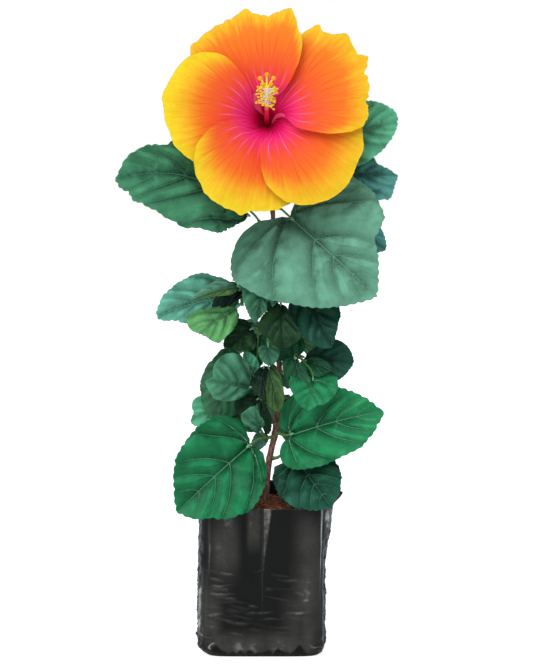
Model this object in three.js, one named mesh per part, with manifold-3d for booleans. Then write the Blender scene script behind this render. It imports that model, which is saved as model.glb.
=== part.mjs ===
// Young hibiscus in a black grow bag, with one wide open bloom. Millimetres, +Z up.
// The origin is the centre of the bag's flat underside, and the bloom faces -Y.
import * as THREE from 'three';
import { mergeVertices } from 'three/addons/utils/BufferGeometryUtils.js';
import Module from 'manifold-3d';

const wasm = await Module();
wasm.setup();

const GAP = 0.3;
const WELD = 1e-4;
const DEGREE = Math.PI / 180;
const GOLDEN = 0.618034;

// Grow bag and the potting mix in it
const BAG_HALF = 51;
const BAG_WALL = 1.2;
const BAG_SQUARENESS = 7;
const BAG_STEPS = 32;
const RIM_FRONT = 118;
const RIM_BACK = 127;
const RIM_TUCK = 0.6;
const RIM_FLARE = 5;
const FLARE_START = 55;
const RIM_TUFT = 9;
const TUFT_BEARING = 20 * DEGREE;
const TUFT_SPREAD = 9 * DEGREE;
const MIX_LEVEL = 113;
const MIX_CROWN = 1.5;

// Upright profiles of bag and mix as [height, how far outside the bag's nominal side]
const BAG_OUTSIDE = [[0, -6], [2.5, -2], [8, 0], [35, 0.6], [65, 0.4], [95, -0.4]];
const BAG_INSIDE = [[95, -0.4], [65, 0.4], [10, 0], [BAG_WALL, -2]];
const MIX_SIDE = [[BAG_WALL + GAP, -2.4], [10, -0.2], [65, 0], [95, -0.8], [MIX_LEVEL - 1, -1.2]];

// Stem: where its middle runs, and its radius at the foot, above the flare and at the tip
const STEM_FOOT = MIX_LEVEL + MIX_CROWN + GAP;
const STEM_PATH = [
  [2, -6, STEM_FOOT], [2, -6, STEM_FOOT + 4], [4, -4, 143], [6.5, -2, 158], [9.5, 0, 171], [11.5, 0, 190],
  [13.5, 1, 211], [13, 2, 226], [11, 2, 260], [9, 1, 300], [8, 1, 345], [6, 2, 374],
];
const FOOT_RADIUS = 3.6;
const STEM_RADIUS = 2.6;
const TIP_RADIUS = 1.7;
const FLARE_HEIGHT = 9;
const NODE_SWELL = 0.35;
const NODE_LENGTH = 2.5;
const STEM_SIDES = 8;
const STEM_STEPS = 34;

// Leaves
const TWIG_RADIUS = 1.5;
const STALK_RADIUS = 1.1;
const BLADE_THICKNESS = 1;
const BLADE_STEPS = [12, 16];
const LARGE_BLADE = 43;
const BLADE_HEART = 0.42;
const SIDE_SHIFT = 1.9;
const STALK_SIDES = 4;
const STALK_STEPS = 3;
const STALK_SEAT = 0.08;
const STALK_BEND = 0.35;
const STALK_RISE = 0.08;
const TWIG_BEND = 0.5;
const LAST_STALK = 0.93;

// Bloom: its throat, how far its axis tips up, and the sizes of petal, column and calyx
const THROAT = [3, -14, 420];
const BLOOM_TIP_UP = 11 * DEGREE;
const PETAL_COUNT = 5;
const PETAL_THICKNESS = 1;
const PETAL_REACH = 80;
const CLAW_START = 3.8;
const CLAW_HALF_ANGLE = 27;
const CLAW_OPENS = [8, 26];
const CLAW_STEPS = 4;
const MARGIN_STEPS = 26;
const SHOULDER = 42;
const FUNNEL_DEPTH = 33;
const FUNNEL_SCALE = 14;
const REFLEX = 4;
const OVERLAP_LIFT = 6;
const OVERLAP_ANGLE = 50 * DEGREE;
const RUFFLE = 1.1;
const RUFFLE_WAVES = 11;
const CALYX_LENGTH = 14;
const CALYX_CLEARANCE = 3.2;
const CALYX_OUTSIDE = [[1.6, -CALYX_LENGTH], [4, 1.5 - CALYX_LENGTH], [6.2, -8], [7, -2], [8, 4]];
const SEPAL_REACH = [7, 16];
const SEPAL_THICKNESS = 1.2;
const FLOWER_STALK_BEND = 18;
const FLOWER_STALK_END = 1.5;
const COLUMN_RADIUS = 2.4;
const COLUMN_PATH = [[0, 0, -2.1], [0, 0, 14], [0, 4, 28], [0, 10, 38], [0, 17, 44]];
const ANTHER_COUNT = 16;
const ANTHERS_ALONG = [0.6, 0.96];
const ANTHER_REACH = 7;
const ANTHER_SIZE = 1.1;
const FILAMENT_RADIUS = 0.35;
const FILAMENT_LEAN = 0.25;
const STIGMA_COUNT = 5;
const STIGMA_SIZE = 1.8;
const STIGMA_SPREAD = [5, 3];
const STYLE_RADIUS = 0.5;
const STYLE_RISE = [0, 8.5, 3];

// Petals in clockwise order from the top one: the bearing of its middle, how many degrees its free
// clockwise edge and its covered edge lie from the middle, and the points of its margin as
// [degrees from the middle, height, spread in degrees].
const PETALS = [
  { bearing: 106, free: 52, covered: 50, points: [[-28, 8, 5], [-5, 7, 5], [24, 2, 10]] },
  {
    bearing: 37, free: 60, covered: 50,
    points: [[24, 4, 5], [8, 10, 6], [-7, 10, 6], [-18, 5, 6], [-32, 2, 8]],
  },
  { bearing: -35, free: 62, covered: 50, points: [[-12, 4, 14], [28, -5, 8]] },
  { bearing: -102, free: 65, covered: 50, points: [[-46, -8, 12], [-12, 2, 9], [22, -5, 12]] },
  { bearing: 180, free: 58, covered: 52, points: [[-42, -4, 10], [-12, 2, 8], [24, -6, 12]] },
];

// Each blade is set by its base, where its stalk joins, its tip, its full width and the way that it
// faces. The other values say how it is shaped, and a leaf states only those that differ.
const BLADE = { arch: 0.1, fold: 10, wave: 0.08, waves: 2.5, lobe: 0.3, point: 0.2, skew: 0, bow: 0, at: 1 };

// One side twig carries each mass. `node` is the height where it leaves the stem, `end` is where it
// ends, and a leaf's `at` is the share of the twig where its own stalk starts.
const MASSES = {
  leaves_top_left: {
    node: 338, end: [-4, -6, 343],
    leaves: [
      { base: [-8, -12, 347], tip: [-114, -46, 375], width: 66, face: [-0.06, -0.85, 0.5], point: 0,
        lobe: 0, skew: 0.11, bow: -0.12 },
    ],
  },
  leaves_top_front: {
    node: 352, end: [14, -7, 352],
    leaves: [
      { base: [19.5, -10, 347], tip: [88.5, -51, 284.5], width: 121, face: [-0.16, -0.93, 0.26], skew: -0.15,
        point: 0.35, lobe: 0.28, fold: 4, arch: 0.06 },
    ],
  },
  leaves_top_right: {
    node: 361, end: [28, 5, 372],
    leaves: [
      { base: [52, 4, 404], tip: [107, -8, 421], width: 50, face: [0.2, -0.9, 0.3], lobe: 0.15 },
      { base: [52, 14, 374], tip: [107, 4, 379], width: 44, face: [0.1, -0.9, 0.4], lobe: 0.15 },
      { base: [58, 10, 342], tip: [98, -2, 319], width: 34, face: [0.2, -0.9, 0.3], at: 0.6 },
    ],
  },
  leaves_upper_left: {
    node: 288, end: [-10, -4, 298],
    leaves: [
      { base: [-20, 2, 283], tip: [-85, 0, 266], width: 43, face: [0.3, -0.75, 0.5], point: 0.1, lobe: 0.06 },
      { base: [-19, -20, 293], tip: [-57, -40, 282], width: 26, face: [-0.2, -0.6, 0.75], fold: 20 },
      { base: [-19, -16, 275], tip: [-62, -30, 262], width: 50, face: [-0.2, -0.9, 0.3], fold: -12 },
    ],
  },
  leaves_upper_front: {
    node: 276, end: [10, -12, 290],
    leaves: [
      { base: [0, -16, 293], tip: [-4, -24, 260], width: 30, face: [0, -0.95, 0.3] },
      { base: [14, -22, 278], tip: [15.5, -38, 241.5], width: 38, face: [0.1, -0.95, 0.3] },
    ],
  },
  leaves_upper_right: {
    node: 264, end: [24, -4, 272],
    leaves: [
      { base: [33, -12, 281], tip: [55, -28, 242], width: 42, face: [0.1, -0.95, 0.25], point: 0.1 },
      { base: [30, 4, 233], tip: [72, -2, 228], width: 38, face: [0.1, -0.9, 0.4], at: 0.5 },
    ],
  },
  leaves_middle_left: {
    node: 208, end: [-6, -4, 217],
    leaves: [
      { base: [-8.5, -13, 209.5], tip: [-45.5, -34, 217], width: 44, face: [-0.1, -0.95, 0.3], point: 0.05 },
      { base: [-9, -6, 220], tip: [-17, -12, 243], width: 18, face: [0, -0.95, 0.3] },
      { base: [-14, 3, 226], tip: [-41, -7, 186], width: 42, face: [-0.2, -0.95, 0.2], point: 0.1, fold: -8 },
      { base: [-9, -4, 256], tip: [-32, -16, 240], width: 32, face: [-0.1, -0.95, 0.3] },
      { base: [-22, 10, 194.5], tip: [-58.5, 4, 182], width: 30, face: [-0.1, -0.95, 0.3], at: 0.6 },
    ],
  },
  leaves_middle_front: {
    node: 218, end: [3, -9, 219],
    leaves: [
      { base: [-4, -9, 200], tip: [-21.5, -12, 192.5], width: 16, face: [-0.1, -0.95, 0.3] },
      { base: [-2, -9, 201], tip: [5, -12, 177], width: 10, face: [-0.1, -0.95, 0.3] },
      { base: [1, -15, 227], tip: [-2, -30, 200], width: 13, face: [-0.3, -0.9, 0.2] },
      { base: [4, -15, 227], tip: [13, -24, 191], width: 15, face: [0.2, -0.95, 0.2] },
    ],
  },
  leaves_middle_right: {
    node: 236, end: [30, -7, 233],
    leaves: [
      { base: [28, -6, 251], tip: [10, -8, 226], width: 26, face: [0.1, -0.95, 0.3] },
      { base: [33, -8, 231], tip: [56, -18, 223], width: 18, face: [0.1, -0.9, 0.4] },
      { base: [25, -22, 235], tip: [30.5, -33, 207], width: 26, face: [0.1, -0.9, 0.3] },
      { base: [39.5, -24, 217.5], tip: [34, -44, 193.5], width: 38, face: [0.2, -0.8, 0.5] },
    ],
  },
  leaves_low_left: {
    node: 169, end: [2, -9, 169],
    leaves: [
      { base: [-9, -24, 166.5], tip: [-66, -60, 118], width: 76, face: [0.25, -0.9, 0.44], skew: -0.31,
        point: 0.08, lobe: 0.05 },
      { base: [-2, -16, 174], tip: [-7, -24, 196], width: 20, face: [0, -0.95, 0.2] },
    ],
  },
  leaves_low_right: {
    node: 172, end: [16, -6, 171],
    leaves: [
      { base: [19, -12, 171], tip: [95.5, -33, 193.5], width: 62, face: [0, -0.88, 0.3], skew: -0.18,
        lobe: 0.14 },
    ],
  },
  leaves_foot_right: {
    node: 152, end: [15, -3, 155],
    leaves: [
      { base: [26.5, -3, 151], tip: [53, -60, 121], width: 51, face: [-0.14, -0.9, 0.35], skew: -0.31,
        point: 0.08, lobe: 0, arch: 0.02, fold: 4 },
    ],
  },
  leaves_top_back: {
    node: 367, end: [3, 17, 380], leaves: [],
    grown: { count: 6, low: [-64, 10, 350], high: [70, 72, 486], length: [44, 62], pitch: [-60, 40] },
  },
  leaves_upper_back: {
    node: 304, end: [8, 16, 314], leaves: [],
    grown: { count: 5, low: [-28, 7, 272], high: [84, 70, 348], length: [38, 56], pitch: [0, 65] },
  },
  leaves_middle_back: {
    node: 240, end: [10, 16, 250], leaves: [],
    grown: { count: 5, low: [-40, 9, 208], high: [60, 68, 270], length: [36, 52], pitch: [0, 65] },
  },
  leaves_low_back: {
    node: 180, end: [12, 16, 188], leaves: [],
    grown: { count: 5, low: [-54, 9, 140], high: [72, 68, 206], length: [38, 56], pitch: [0, 65] },
  },
};

// A grown mass fans its leaves out behind the stem: the bearings of its first and last leaf, the
// lengths of its leaf stalks, how wide a blade is for its length, and how far apart blades keep.
const FAN = [12, 168];
const STALK_REACH = [14, 32];
const STALK_SLOPE = [-0.35, 0.65];
const BLADE_WIDTH = 0.8;
const SPACING = 0.5;
const TRIES = 200;
const SEED = 29;

// Small generator of even numbers from 0 to 1, so that every run grows the same plant.
function seeded(seed) {
  let state = seed;
  return () => {
    state = (state * 16807) % 2147483647;
    return state / 2147483647;
  };
}

const point = (values) => new THREE.Vector3(...values);

function signedVolume(positions, index) {
  const corner = (k) => new THREE.Vector3().fromArray(positions, 3 * index[k]);
  let volume = 0;
  for (let k = 0; k < index.length; k += 3) {
    volume += corner(k).dot(corner(k + 1).cross(corner(k + 2)));
  }
  return volume;
}

// Closed geometry from points and triangles, turned so that its faces point out.
function closedGeometry(points, triangles) {
  const positions = points.flatMap((p) => [p.x, p.y, p.z]);
  const index = triangles.flat();
  if (signedVolume(positions, index) < 0) {
    index.reverse();
  }
  const geometry = new THREE.BufferGeometry();
  geometry.setAttribute('position', new THREE.Float32BufferAttribute(positions, 3));
  geometry.setIndex(index);
  return geometry;
}

// Skin through a row of closed rings with equal counts, capped at both ends.
function loft(rings) {
  const count = rings[0].length;
  const points = rings.flat();
  const triangles = [];
  for (let r = 0; r < rings.length - 1; r += 1) {
    for (let k = 0; k < count; k += 1) {
      const a = r * count + k;
      const b = r * count + (k + 1) % count;
      triangles.push([a, b, b + count], [a, b + count, a + count]);
    }
  }
  const cap = (ring, first, flip) => {
    const middle = ring.reduce((sum, p) => sum.add(p), new THREE.Vector3()).divideScalar(count);
    points.push(middle);
    for (let k = 0; k < count; k += 1) {
      const edge = [first + (k + 1) % count, first + k];
      triangles.push([...(flip ? edge.reverse() : edge), points.length - 1]);
    }
  };
  cap(rings[0], 0, false);
  cap(rings.at(-1), (rings.length - 1) * count, true);
  return closedGeometry(points, triangles);
}

// Round limb along a curve; radius is a function of the share of its length.
function limb(curve, radius, sides, steps) {
  const frames = curve.computeFrenetFrames(steps);
  const rings = [];
  for (let s = 0; s <= steps; s += 1) {
    const middle = curve.getPointAt(s / steps);
    rings.push(Array.from({ length: sides }, (_, k) => {
      const turn = 2 * Math.PI * k / sides;
      return middle.clone()
        .addScaledVector(frames.normals[s], Math.cos(turn) * radius(s / steps))
        .addScaledVector(frames.binormals[s], Math.sin(turn) * radius(s / steps));
    }));
  }
  return loft(rings);
}

function taper(start, end) {
  return (share) => THREE.MathUtils.lerp(start, end, share);
}

// Thin closed plate: `rim` gives its flat outline round `middle`, and `surface` lifts each flat
// point to its place. `rings` are the shares of the way from the middle to the rim.
function plate(middle, rim, surface, thickness, rings) {
  const steps = rim.length;
  const flat = [middle, ...rings.flatMap((share) => rim.map((p) => middle.clone().lerp(p, share)))];
  const nudge = 0.5;
  const normal = (p) => {
    const along = surface(p.x + nudge, p.y).sub(surface(p.x - nudge, p.y));
    const across = surface(p.x, p.y + nudge).sub(surface(p.x, p.y - nudge));
    return along.cross(across).normalize();
  };
  const face = (side) => flat.map((p) => surface(p.x, p.y).addScaledVector(normal(p), side * thickness / 2));
  const top = [];
  for (let k = 0; k < steps; k += 1) {
    const next = (k + 1) % steps;
    top.push([0, 1 + k, 1 + next]);
    for (let r = 0; r < rings.length - 1; r += 1) {
      const a = 1 + r * steps;
      top.push([a + k, a + steps + k, a + steps + next], [a + k, a + steps + next, a + next]);
    }
  }
  const under = top.map((t) => t.map((v) => v + flat.length).reverse());
  const last = 1 + (rings.length - 1) * steps;
  const wall = rim.flatMap((_, k) => {
    const a = last + k;
    const b = last + (k + 1) % steps;
    return [[a, a + flat.length, b + flat.length], [a, b + flat.length, b]];
  });
  return closedGeometry([...face(1), ...face(-1)], [...top, ...under, ...wall]);
}

function toManifold(geometry) {
  const bare = geometry.clone();
  bare.deleteAttribute('normal');
  bare.deleteAttribute('uv');
  const merged = mergeVertices(bare, WELD);
  return new wasm.Manifold(new wasm.Mesh({
    numProp: 3,
    vertProperties: new Float32Array(merged.attributes.position.array),
    triVerts: new Uint32Array(merged.index.array),
  }));
}

function fuse(geometries) {
  const joined = geometries.map(toManifold).reduce((sum, next) => sum.add(next));
  const mesh = joined.getMesh();
  const geometry = new THREE.BufferGeometry();
  geometry.setAttribute('position', new THREE.BufferAttribute(mesh.vertProperties, mesh.numProp));
  geometry.setIndex(new THREE.BufferAttribute(mesh.triVerts, 1));
  return geometry;
}

// Grow bag: a rounded square tube of film that stands on its flat folded bottom
function bagRing(height, grow, atRim = false) {
  return Array.from({ length: BAG_STEPS }, (_, k) => {
    const bearing = 2 * Math.PI * (k + 0.5) / BAG_STEPS;
    const c = Math.cos(bearing);
    const s = Math.sin(bearing);
    const square = (Math.abs(c) ** BAG_SQUARENESS + Math.abs(s) ** BAG_SQUARENESS) ** (-1 / BAG_SQUARENESS);
    const upper = THREE.MathUtils.smoothstep(height, FLARE_START, RIM_FRONT);
    const flare = RIM_FLARE * upper * Math.max(0, c) ** 2;
    const tuft = atRim ? RIM_TUFT * Math.exp(-(((bearing - TUFT_BEARING) / TUFT_SPREAD) ** 2)) : 0;
    const radius = square * (BAG_HALF + grow) + flare + tuft;
    const rim = THREE.MathUtils.mapLinear(radius * s, -BAG_HALF, BAG_HALF, RIM_FRONT, RIM_BACK);
    return new THREE.Vector3(radius * c, radius * s, atRim ? rim : height);
  });
}

function growBag() {
  return loft([
    ...BAG_OUTSIDE.map(([height, grow]) => bagRing(height, grow)),
    bagRing(RIM_FRONT, -RIM_TUCK, true),
    bagRing(RIM_FRONT, -RIM_TUCK - BAG_WALL, true),
    ...BAG_INSIDE.map(([height, grow]) => bagRing(height, grow - BAG_WALL)),
  ]);
}

function pottingMix() {
  const inset = -BAG_WALL - GAP;
  const rings = MIX_SIDE.map(([height, grow]) => bagRing(height, grow + inset));
  const crown = (share, rise) => bagRing(MIX_LEVEL, inset)
    .map((p) => new THREE.Vector3(p.x * share, p.y * share, MIX_LEVEL + rise));
  return loft([...rings, crown(0.8, MIX_CROWN / 2), crown(0.3, MIX_CROWN)]);
}

// Stem
const stemCurve = new THREE.CatmullRomCurve3(STEM_PATH.map(point), false, 'centripetal');
const nodeHeights = Object.values(MASSES).map((mass) => mass.node);

function stemRadius(height) {
  const share = THREE.MathUtils.mapLinear(height, STEM_FOOT, STEM_PATH.at(-1)[2], 0, 1);
  const flare = (FOOT_RADIUS - STEM_RADIUS) * Math.exp(-(height - STEM_FOOT) / FLARE_HEIGHT);
  const nearest = Math.min(...nodeHeights.map((node) => Math.abs(height - node)));
  const swell = NODE_SWELL * Math.exp(-((nearest / NODE_LENGTH) ** 2));
  return THREE.MathUtils.lerp(STEM_RADIUS, TIP_RADIUS, share) + flare + swell;
}

function stemShareAt(height) {
  let low = 0;
  let high = 1;
  for (let k = 0; k < 30; k += 1) {
    const middle = (low + high) / 2;
    if (stemCurve.getPointAt(middle).z < height) {
      low = middle;
    } else {
      high = middle;
    }
  }
  return low;
}

function stem() {
  return limb(stemCurve, (share) => stemRadius(stemCurve.getPointAt(share).z), STEM_SIDES, STEM_STEPS);
}

// Leaf blade
function bladeOutline(leaf, turn) {
  const back = (1 - Math.cos(turn)) / 2;
  const side = Math.sin(turn);
  const widest = (1 + 2 * leaf.point) / (2 + 2 * leaf.point);
  const most = 2 * Math.sqrt(widest * (1 - widest)) * widest ** leaf.point;
  const y = side * back ** leaf.point / most * leaf.width / 2;
  const x = leaf.length * (1 - back - leaf.lobe * Math.abs(side) * back * back);
  return new THREE.Vector2(x - leaf.skew * y * back, y);
}

function bladeSurface(leaf) {
  const tilt = leaf.fold * DEGREE;
  return (x, y) => {
    const along = x / leaf.length;
    const edge = Math.abs(y) / (leaf.width / 2);
    const ridge = leaf.arch * leaf.length * 4 * along * (1 - along);
    const turn = 2 * Math.PI * leaf.waves * along + leaf.phase + (y > 0 ? SIDE_SHIFT : 0);
    const wave = leaf.wave * leaf.width / 2 * edge * edge * Math.sin(turn);
    const aside = y * Math.cos(tilt) + 4 * leaf.bow * x * (1 - along);
    return new THREE.Vector3(x, aside, ridge + Math.abs(y) * Math.sin(tilt) + wave).applyMatrix4(leaf.frame);
  };
}

function dressLeaf(spec, random) {
  const base = point(spec.base);
  const tip = point(spec.tip);
  const along = tip.clone().sub(base);
  const length = along.length();
  along.normalize();
  const face = point(spec.face);
  face.addScaledVector(along, -face.dot(along)).normalize();
  const across = face.clone().cross(along);
  const frame = new THREE.Matrix4().makeBasis(along, across, face).setPosition(base);
  return { ...BLADE, ...spec, length, frame, along, base, phase: 2 * Math.PI * random() };
}

function bladeRim(leaf) {
  const steps = BLADE_STEPS[leaf.width < LARGE_BLADE ? 0 : 1];
  return Array.from({ length: steps }, (_, k) => bladeOutline(leaf, 2 * Math.PI * k / steps));
}

function blade(leaf) {
  const middle = new THREE.Vector2(BLADE_HEART * leaf.length, 0);
  const rings = leaf.width < LARGE_BLADE ? [1] : [0.55, 1];
  return plate(middle, bladeRim(leaf), bladeSurface(leaf), BLADE_THICKNESS, rings);
}

// Leaf stalk from inside its twig to a little way along the blade's midrib
function leafStalk(leaf, start) {
  const reach = leaf.base.distanceTo(start);
  const seat = bladeSurface(leaf)(STALK_SEAT * leaf.length, 0);
  const bend = leaf.base.clone().addScaledVector(leaf.along, -STALK_BEND * reach);
  const lift = start.clone().lerp(leaf.base, 0.4);
  lift.z += STALK_RISE * reach;
  const curve = new THREE.CubicBezierCurve3(start, lift, bend, seat);
  return limb(curve, taper(STALK_RADIUS, 0.9 * STALK_RADIUS), STALK_SIDES, STALK_STEPS);
}

function twigCurve(mass) {
  const heart = stemCurve.getPointAt(stemShareAt(mass.node));
  const end = point(mass.end);
  const out = new THREE.Vector3(end.x - heart.x, end.y - heart.y, 0).normalize();
  const start = heart.clone().addScaledVector(out, stemRadius(mass.node) + GAP);
  const bend = start.clone().addScaledVector(out, TWIG_BEND * start.distanceTo(end));
  return new THREE.QuadraticBezierCurve3(start, bend, end);
}

// Seeded rule for the leaves that the front hides: each try fans out by the golden angle, and a
// leaf that would leave its mass's space or crowd one that is there already is skipped.
function grownLeaves(mass, random) {
  const between = ([low, high], share) => THREE.MathUtils.lerp(low, high, share);
  const { count, low, high, length, pitch } = mass.grown;
  const space = new THREE.Box3(point(low), point(high));
  const kept = [];
  for (let k = 0; k < TRIES && kept.length < count; k += 1) {
    const bearing = between(FAN, (k * GOLDEN + 0.5) % 1) * DEGREE;
    const dip = between(pitch, random()) * DEGREE;
    const reach = between(STALK_REACH, random());
    const size = between(length, random());
    const out = new THREE.Vector3(Math.cos(bearing), Math.sin(bearing), 0);
    const base = point(mass.end).addScaledVector(out, reach);
    base.z += reach * between(STALK_SLOPE, random());
    const along = out.clone().multiplyScalar(Math.cos(dip));
    along.z = -Math.sin(dip);
    const face = out.clone().multiplyScalar(Math.sin(dip));
    face.z = Math.cos(dip);
    const tip = base.clone().addScaledVector(along, size);
    const ends = { base: base.toArray(), tip: tip.toArray() };
    const leaf = dressLeaf({ ...ends, width: BLADE_WIDTH * size, face: face.toArray() }, random);
    const surface = bladeSurface(leaf);
    const rim = bladeRim(leaf).map((p) => surface(p.x, p.y));
    const heart = base.clone().lerp(tip, 0.5);
    const crowded = kept.some((other) => other.heart.distanceTo(heart) < SPACING * size);
    if (rim.every((p) => space.containsPoint(p)) && !crowded) {
      kept.push({ ...leaf, heart });
    }
  }
  return kept;
}

function leafMass(mass, random) {
  const twig = twigCurve(mass);
  const pieces = [limb(twig, taper(TWIG_RADIUS, STALK_RADIUS), STALK_SIDES, STALK_STEPS)];
  const leaves = mass.leaves.map((spec) => dressLeaf(spec, random));
  for (const leaf of mass.grown ? leaves.concat(grownLeaves(mass, random)) : leaves) {
    const start = twig.getPointAt(Math.min(leaf.at, LAST_STALK));
    pieces.push(leafStalk(leaf, start), blade(leaf));
  }
  return fuse(pieces);
}

// Bloom, in a frame of its own: +Z along its axis towards the front, +Y up its face
function funnel(radius) {
  const reflexed = Math.max(0, (radius - SHOULDER) / (PETAL_REACH - SHOULDER));
  return FUNNEL_DEPTH * (1 - Math.exp(-(radius - CLAW_START) / FUNNEL_SCALE)) - REFLEX * reflexed ** 2;
}

const opening = (radius) => THREE.MathUtils.smoothstep(radius, ...CLAW_OPENS);

// Each petal climbs towards its free edge, so that it lies over the next petal's covered edge.
function petalSurface(petal) {
  const bearing = petal.bearing * DEGREE;
  return (x, y) => {
    const radius = Math.hypot(x, y);
    const turn = Math.atan2(y, x);
    const climb = -OVERLAP_LIFT * opening(radius) * turn / OVERLAP_ANGLE;
    const ruffle = RUFFLE * (radius / PETAL_REACH) ** 4 * Math.sin(turn * RUFFLE_WAVES + petal.bearing);
    const height = funnel(radius) + climb + ruffle;
    return new THREE.Vector3(radius * Math.cos(bearing + turn), radius * Math.sin(bearing + turn), height);
  };
}

function petalReach(petal, degrees) {
  return petal.points.reduce((sum, [at, height, spread]) => (
    sum + height * Math.exp(-(((degrees - at) / spread) ** 2))
  ), PETAL_REACH);
}

function petalRim(petal) {
  const rim = [];
  const add = (radius, degrees) => {
    rim.push(new THREE.Vector2(radius * Math.cos(degrees * DEGREE), radius * Math.sin(degrees * DEGREE)));
  };
  const half = (side) => (side < 0 ? petal.free : petal.covered);
  const edge = (radius, side) => (
    side * THREE.MathUtils.lerp(CLAW_HALF_ANGLE, half(side), opening(radius))
  );
  const inner = (k) => CLAW_START + (SHOULDER - CLAW_START) * (k / CLAW_STEPS) ** 1.4;
  for (let k = 0; k < CLAW_STEPS; k += 1) {
    add(inner(k), edge(inner(k), -1));
  }
  for (let k = 0; k <= MARGIN_STEPS; k += 1) {
    const swing = Math.sin(Math.PI * (k / MARGIN_STEPS - 0.5));
    const degrees = half(swing) * swing;
    const share = (1 - Math.abs(swing) ** 2.5) ** 0.4;
    add(THREE.MathUtils.lerp(SHOULDER, petalReach(petal, degrees), share), degrees);
  }
  for (let k = CLAW_STEPS - 1; k >= 0; k -= 1) {
    add(inner(k), edge(inner(k), 1));
  }
  return rim;
}

function petalPlate(petal) {
  const middle = new THREE.Vector2(SHOULDER, 0);
  return plate(middle, petalRim(petal), petalSurface(petal), PETAL_THICKNESS, [0.35, 0.7, 1]);
}

// Green cup behind the petals, with five pointed lobes, on its stalk from the stem's tip
function calyxInside(radius) {
  return funnel(radius) - CALYX_CLEARANCE - 1.3 * OVERLAP_LIFT * opening(radius);
}

function calyx(stalk) {
  const steps = 4 * PETAL_COUNT;
  const ring = (place) => Array.from({ length: steps }, (_, k) => {
    const turn = 2 * Math.PI * k / steps;
    const lobe = (1 + Math.cos(PETAL_COUNT * turn)) / 2;
    const [radius, height] = place(lobe);
    return new THREE.Vector3(radius * Math.cos(turn), radius * Math.sin(turn), height);
  });
  const rim = (lobe) => THREE.MathUtils.lerp(SEPAL_REACH[0] + 2, SEPAL_REACH[1], lobe);
  const cup = loft([
    ...CALYX_OUTSIDE.map((place) => ring(() => place)),
    ring((lobe) => [rim(lobe), calyxInside(rim(lobe)) - SEPAL_THICKNESS]),
    ring((lobe) => [rim(lobe) - 0.2, calyxInside(rim(lobe) - 0.2)]),
    ring(() => [SEPAL_REACH[0], calyxInside(SEPAL_REACH[0])]),
    ring(() => [3.4, -CALYX_CLEARANCE]),
  ]);
  return fuse([cup, stalk]);
}

// Flower stalk in the bloom's frame, from just above the stem's tip into the calyx
function flowerStalk(bloom) {
  const start = stemCurve.getPoint(1);
  const rise = stemCurve.getTangent(1);
  start.addScaledVector(rise, GAP);
  const bend = start.clone().addScaledVector(rise, FLOWER_STALK_BEND);
  const curve = new THREE.CubicBezierCurve3(
    bloom.worldToLocal(start),
    bloom.worldToLocal(bend),
    new THREE.Vector3(0, 0, -CALYX_LENGTH - FLOWER_STALK_BEND),
    new THREE.Vector3(0, 0, -CALYX_LENGTH + 2),
  );
  return limb(curve, taper(TIP_RADIUS, FLOWER_STALK_END), STEM_SIDES, 10);
}

// Column in the throat, with anthers on fine filaments round its end and five round stigmas
function staminalColumn() {
  const path = new THREE.CatmullRomCurve3(COLUMN_PATH.map(point), false, 'centripetal');
  const pieces = [limb(path, (share) => COLUMN_RADIUS * (1 - 0.4 * share ** 0.5), 8, 9)];
  const frames = path.computeFrenetFrames(100);
  for (let k = 0; k < ANTHER_COUNT; k += 1) {
    const share = THREE.MathUtils.lerp(...ANTHERS_ALONG, k / ANTHER_COUNT);
    const turn = 2 * Math.PI * GOLDEN * k;
    const step = Math.round(100 * share);
    const root = path.getPointAt(share);
    const out = frames.normals[step].clone().multiplyScalar(Math.cos(turn))
      .addScaledVector(frames.binormals[step], Math.sin(turn))
      .addScaledVector(frames.tangents[step], FILAMENT_LEAN).normalize();
    const end = root.clone().addScaledVector(out, ANTHER_REACH * (0.8 + 0.2 * Math.sin(5 * k)));
    const anther = new THREE.OctahedronGeometry(ANTHER_SIZE, 0).translate(end.x, end.y, end.z);
    pieces.push(limb(new THREE.LineCurve3(root, end), () => FILAMENT_RADIUS, 3, 1), anther);
  }
  const tip = path.getPointAt(0.98);
  const [across, up] = STIGMA_SPREAD;
  for (let k = 0; k < STIGMA_COUNT; k += 1) {
    const turn = Math.PI / 2 + 2 * Math.PI * k / STIGMA_COUNT;
    const end = tip.clone().add(point(STYLE_RISE));
    end.add(new THREE.Vector3(across * Math.cos(turn), up * Math.sin(turn), 0));
    const stigma = new THREE.OctahedronGeometry(STIGMA_SIZE, 0).translate(end.x, end.y, end.z);
    pieces.push(limb(new THREE.LineCurve3(tip, end), () => STYLE_RADIUS, 4, 1), stigma);
  }
  return fuse(pieces);
}

const standard = (color, roughness) => new THREE.MeshStandardMaterial({ color, roughness, metalness: 0 });
const leafGreen = standard('#2e7d57', 0.55);
const bark = standard('#6b4a3a', 0.8);
const film = standard('#2b2b29', 0.35);
const mix = standard('#4a2c1c', 0.95);
const petalOrange = standard('#ff8a1e', 0.6);
const calyxGreen = standard('#6f9a3c', 0.6);
const pollenYellow = standard('#ffd23a', 0.6);

function named(name, geometry, material) {
  const mesh = new THREE.Mesh(geometry, material);
  mesh.name = name;
  return mesh;
}

const hibiscus = new THREE.Group();
hibiscus.add(named('grow_bag', growBag(), film));
hibiscus.add(named('potting_mix', pottingMix(), mix));
hibiscus.add(named('stem', stem(), bark));
const random = seeded(SEED);
for (const [name, mass] of Object.entries(MASSES)) {
  hibiscus.add(named(name, leafMass(mass, random), leafGreen));
}

const bloom = new THREE.Group();
bloom.position.set(...THROAT);
bloom.rotation.x = Math.PI / 2 - BLOOM_TIP_UP;
bloom.updateMatrixWorld();
bloom.add(named('calyx', calyx(flowerStalk(bloom)), calyxGreen));
bloom.add(named('staminal_column', staminalColumn(), pollenYellow));
PETALS.forEach((petal, k) => bloom.add(named(`petal_${k + 1}`, petalPlate(petal), petalOrange)));
hibiscus.add(bloom);

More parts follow.
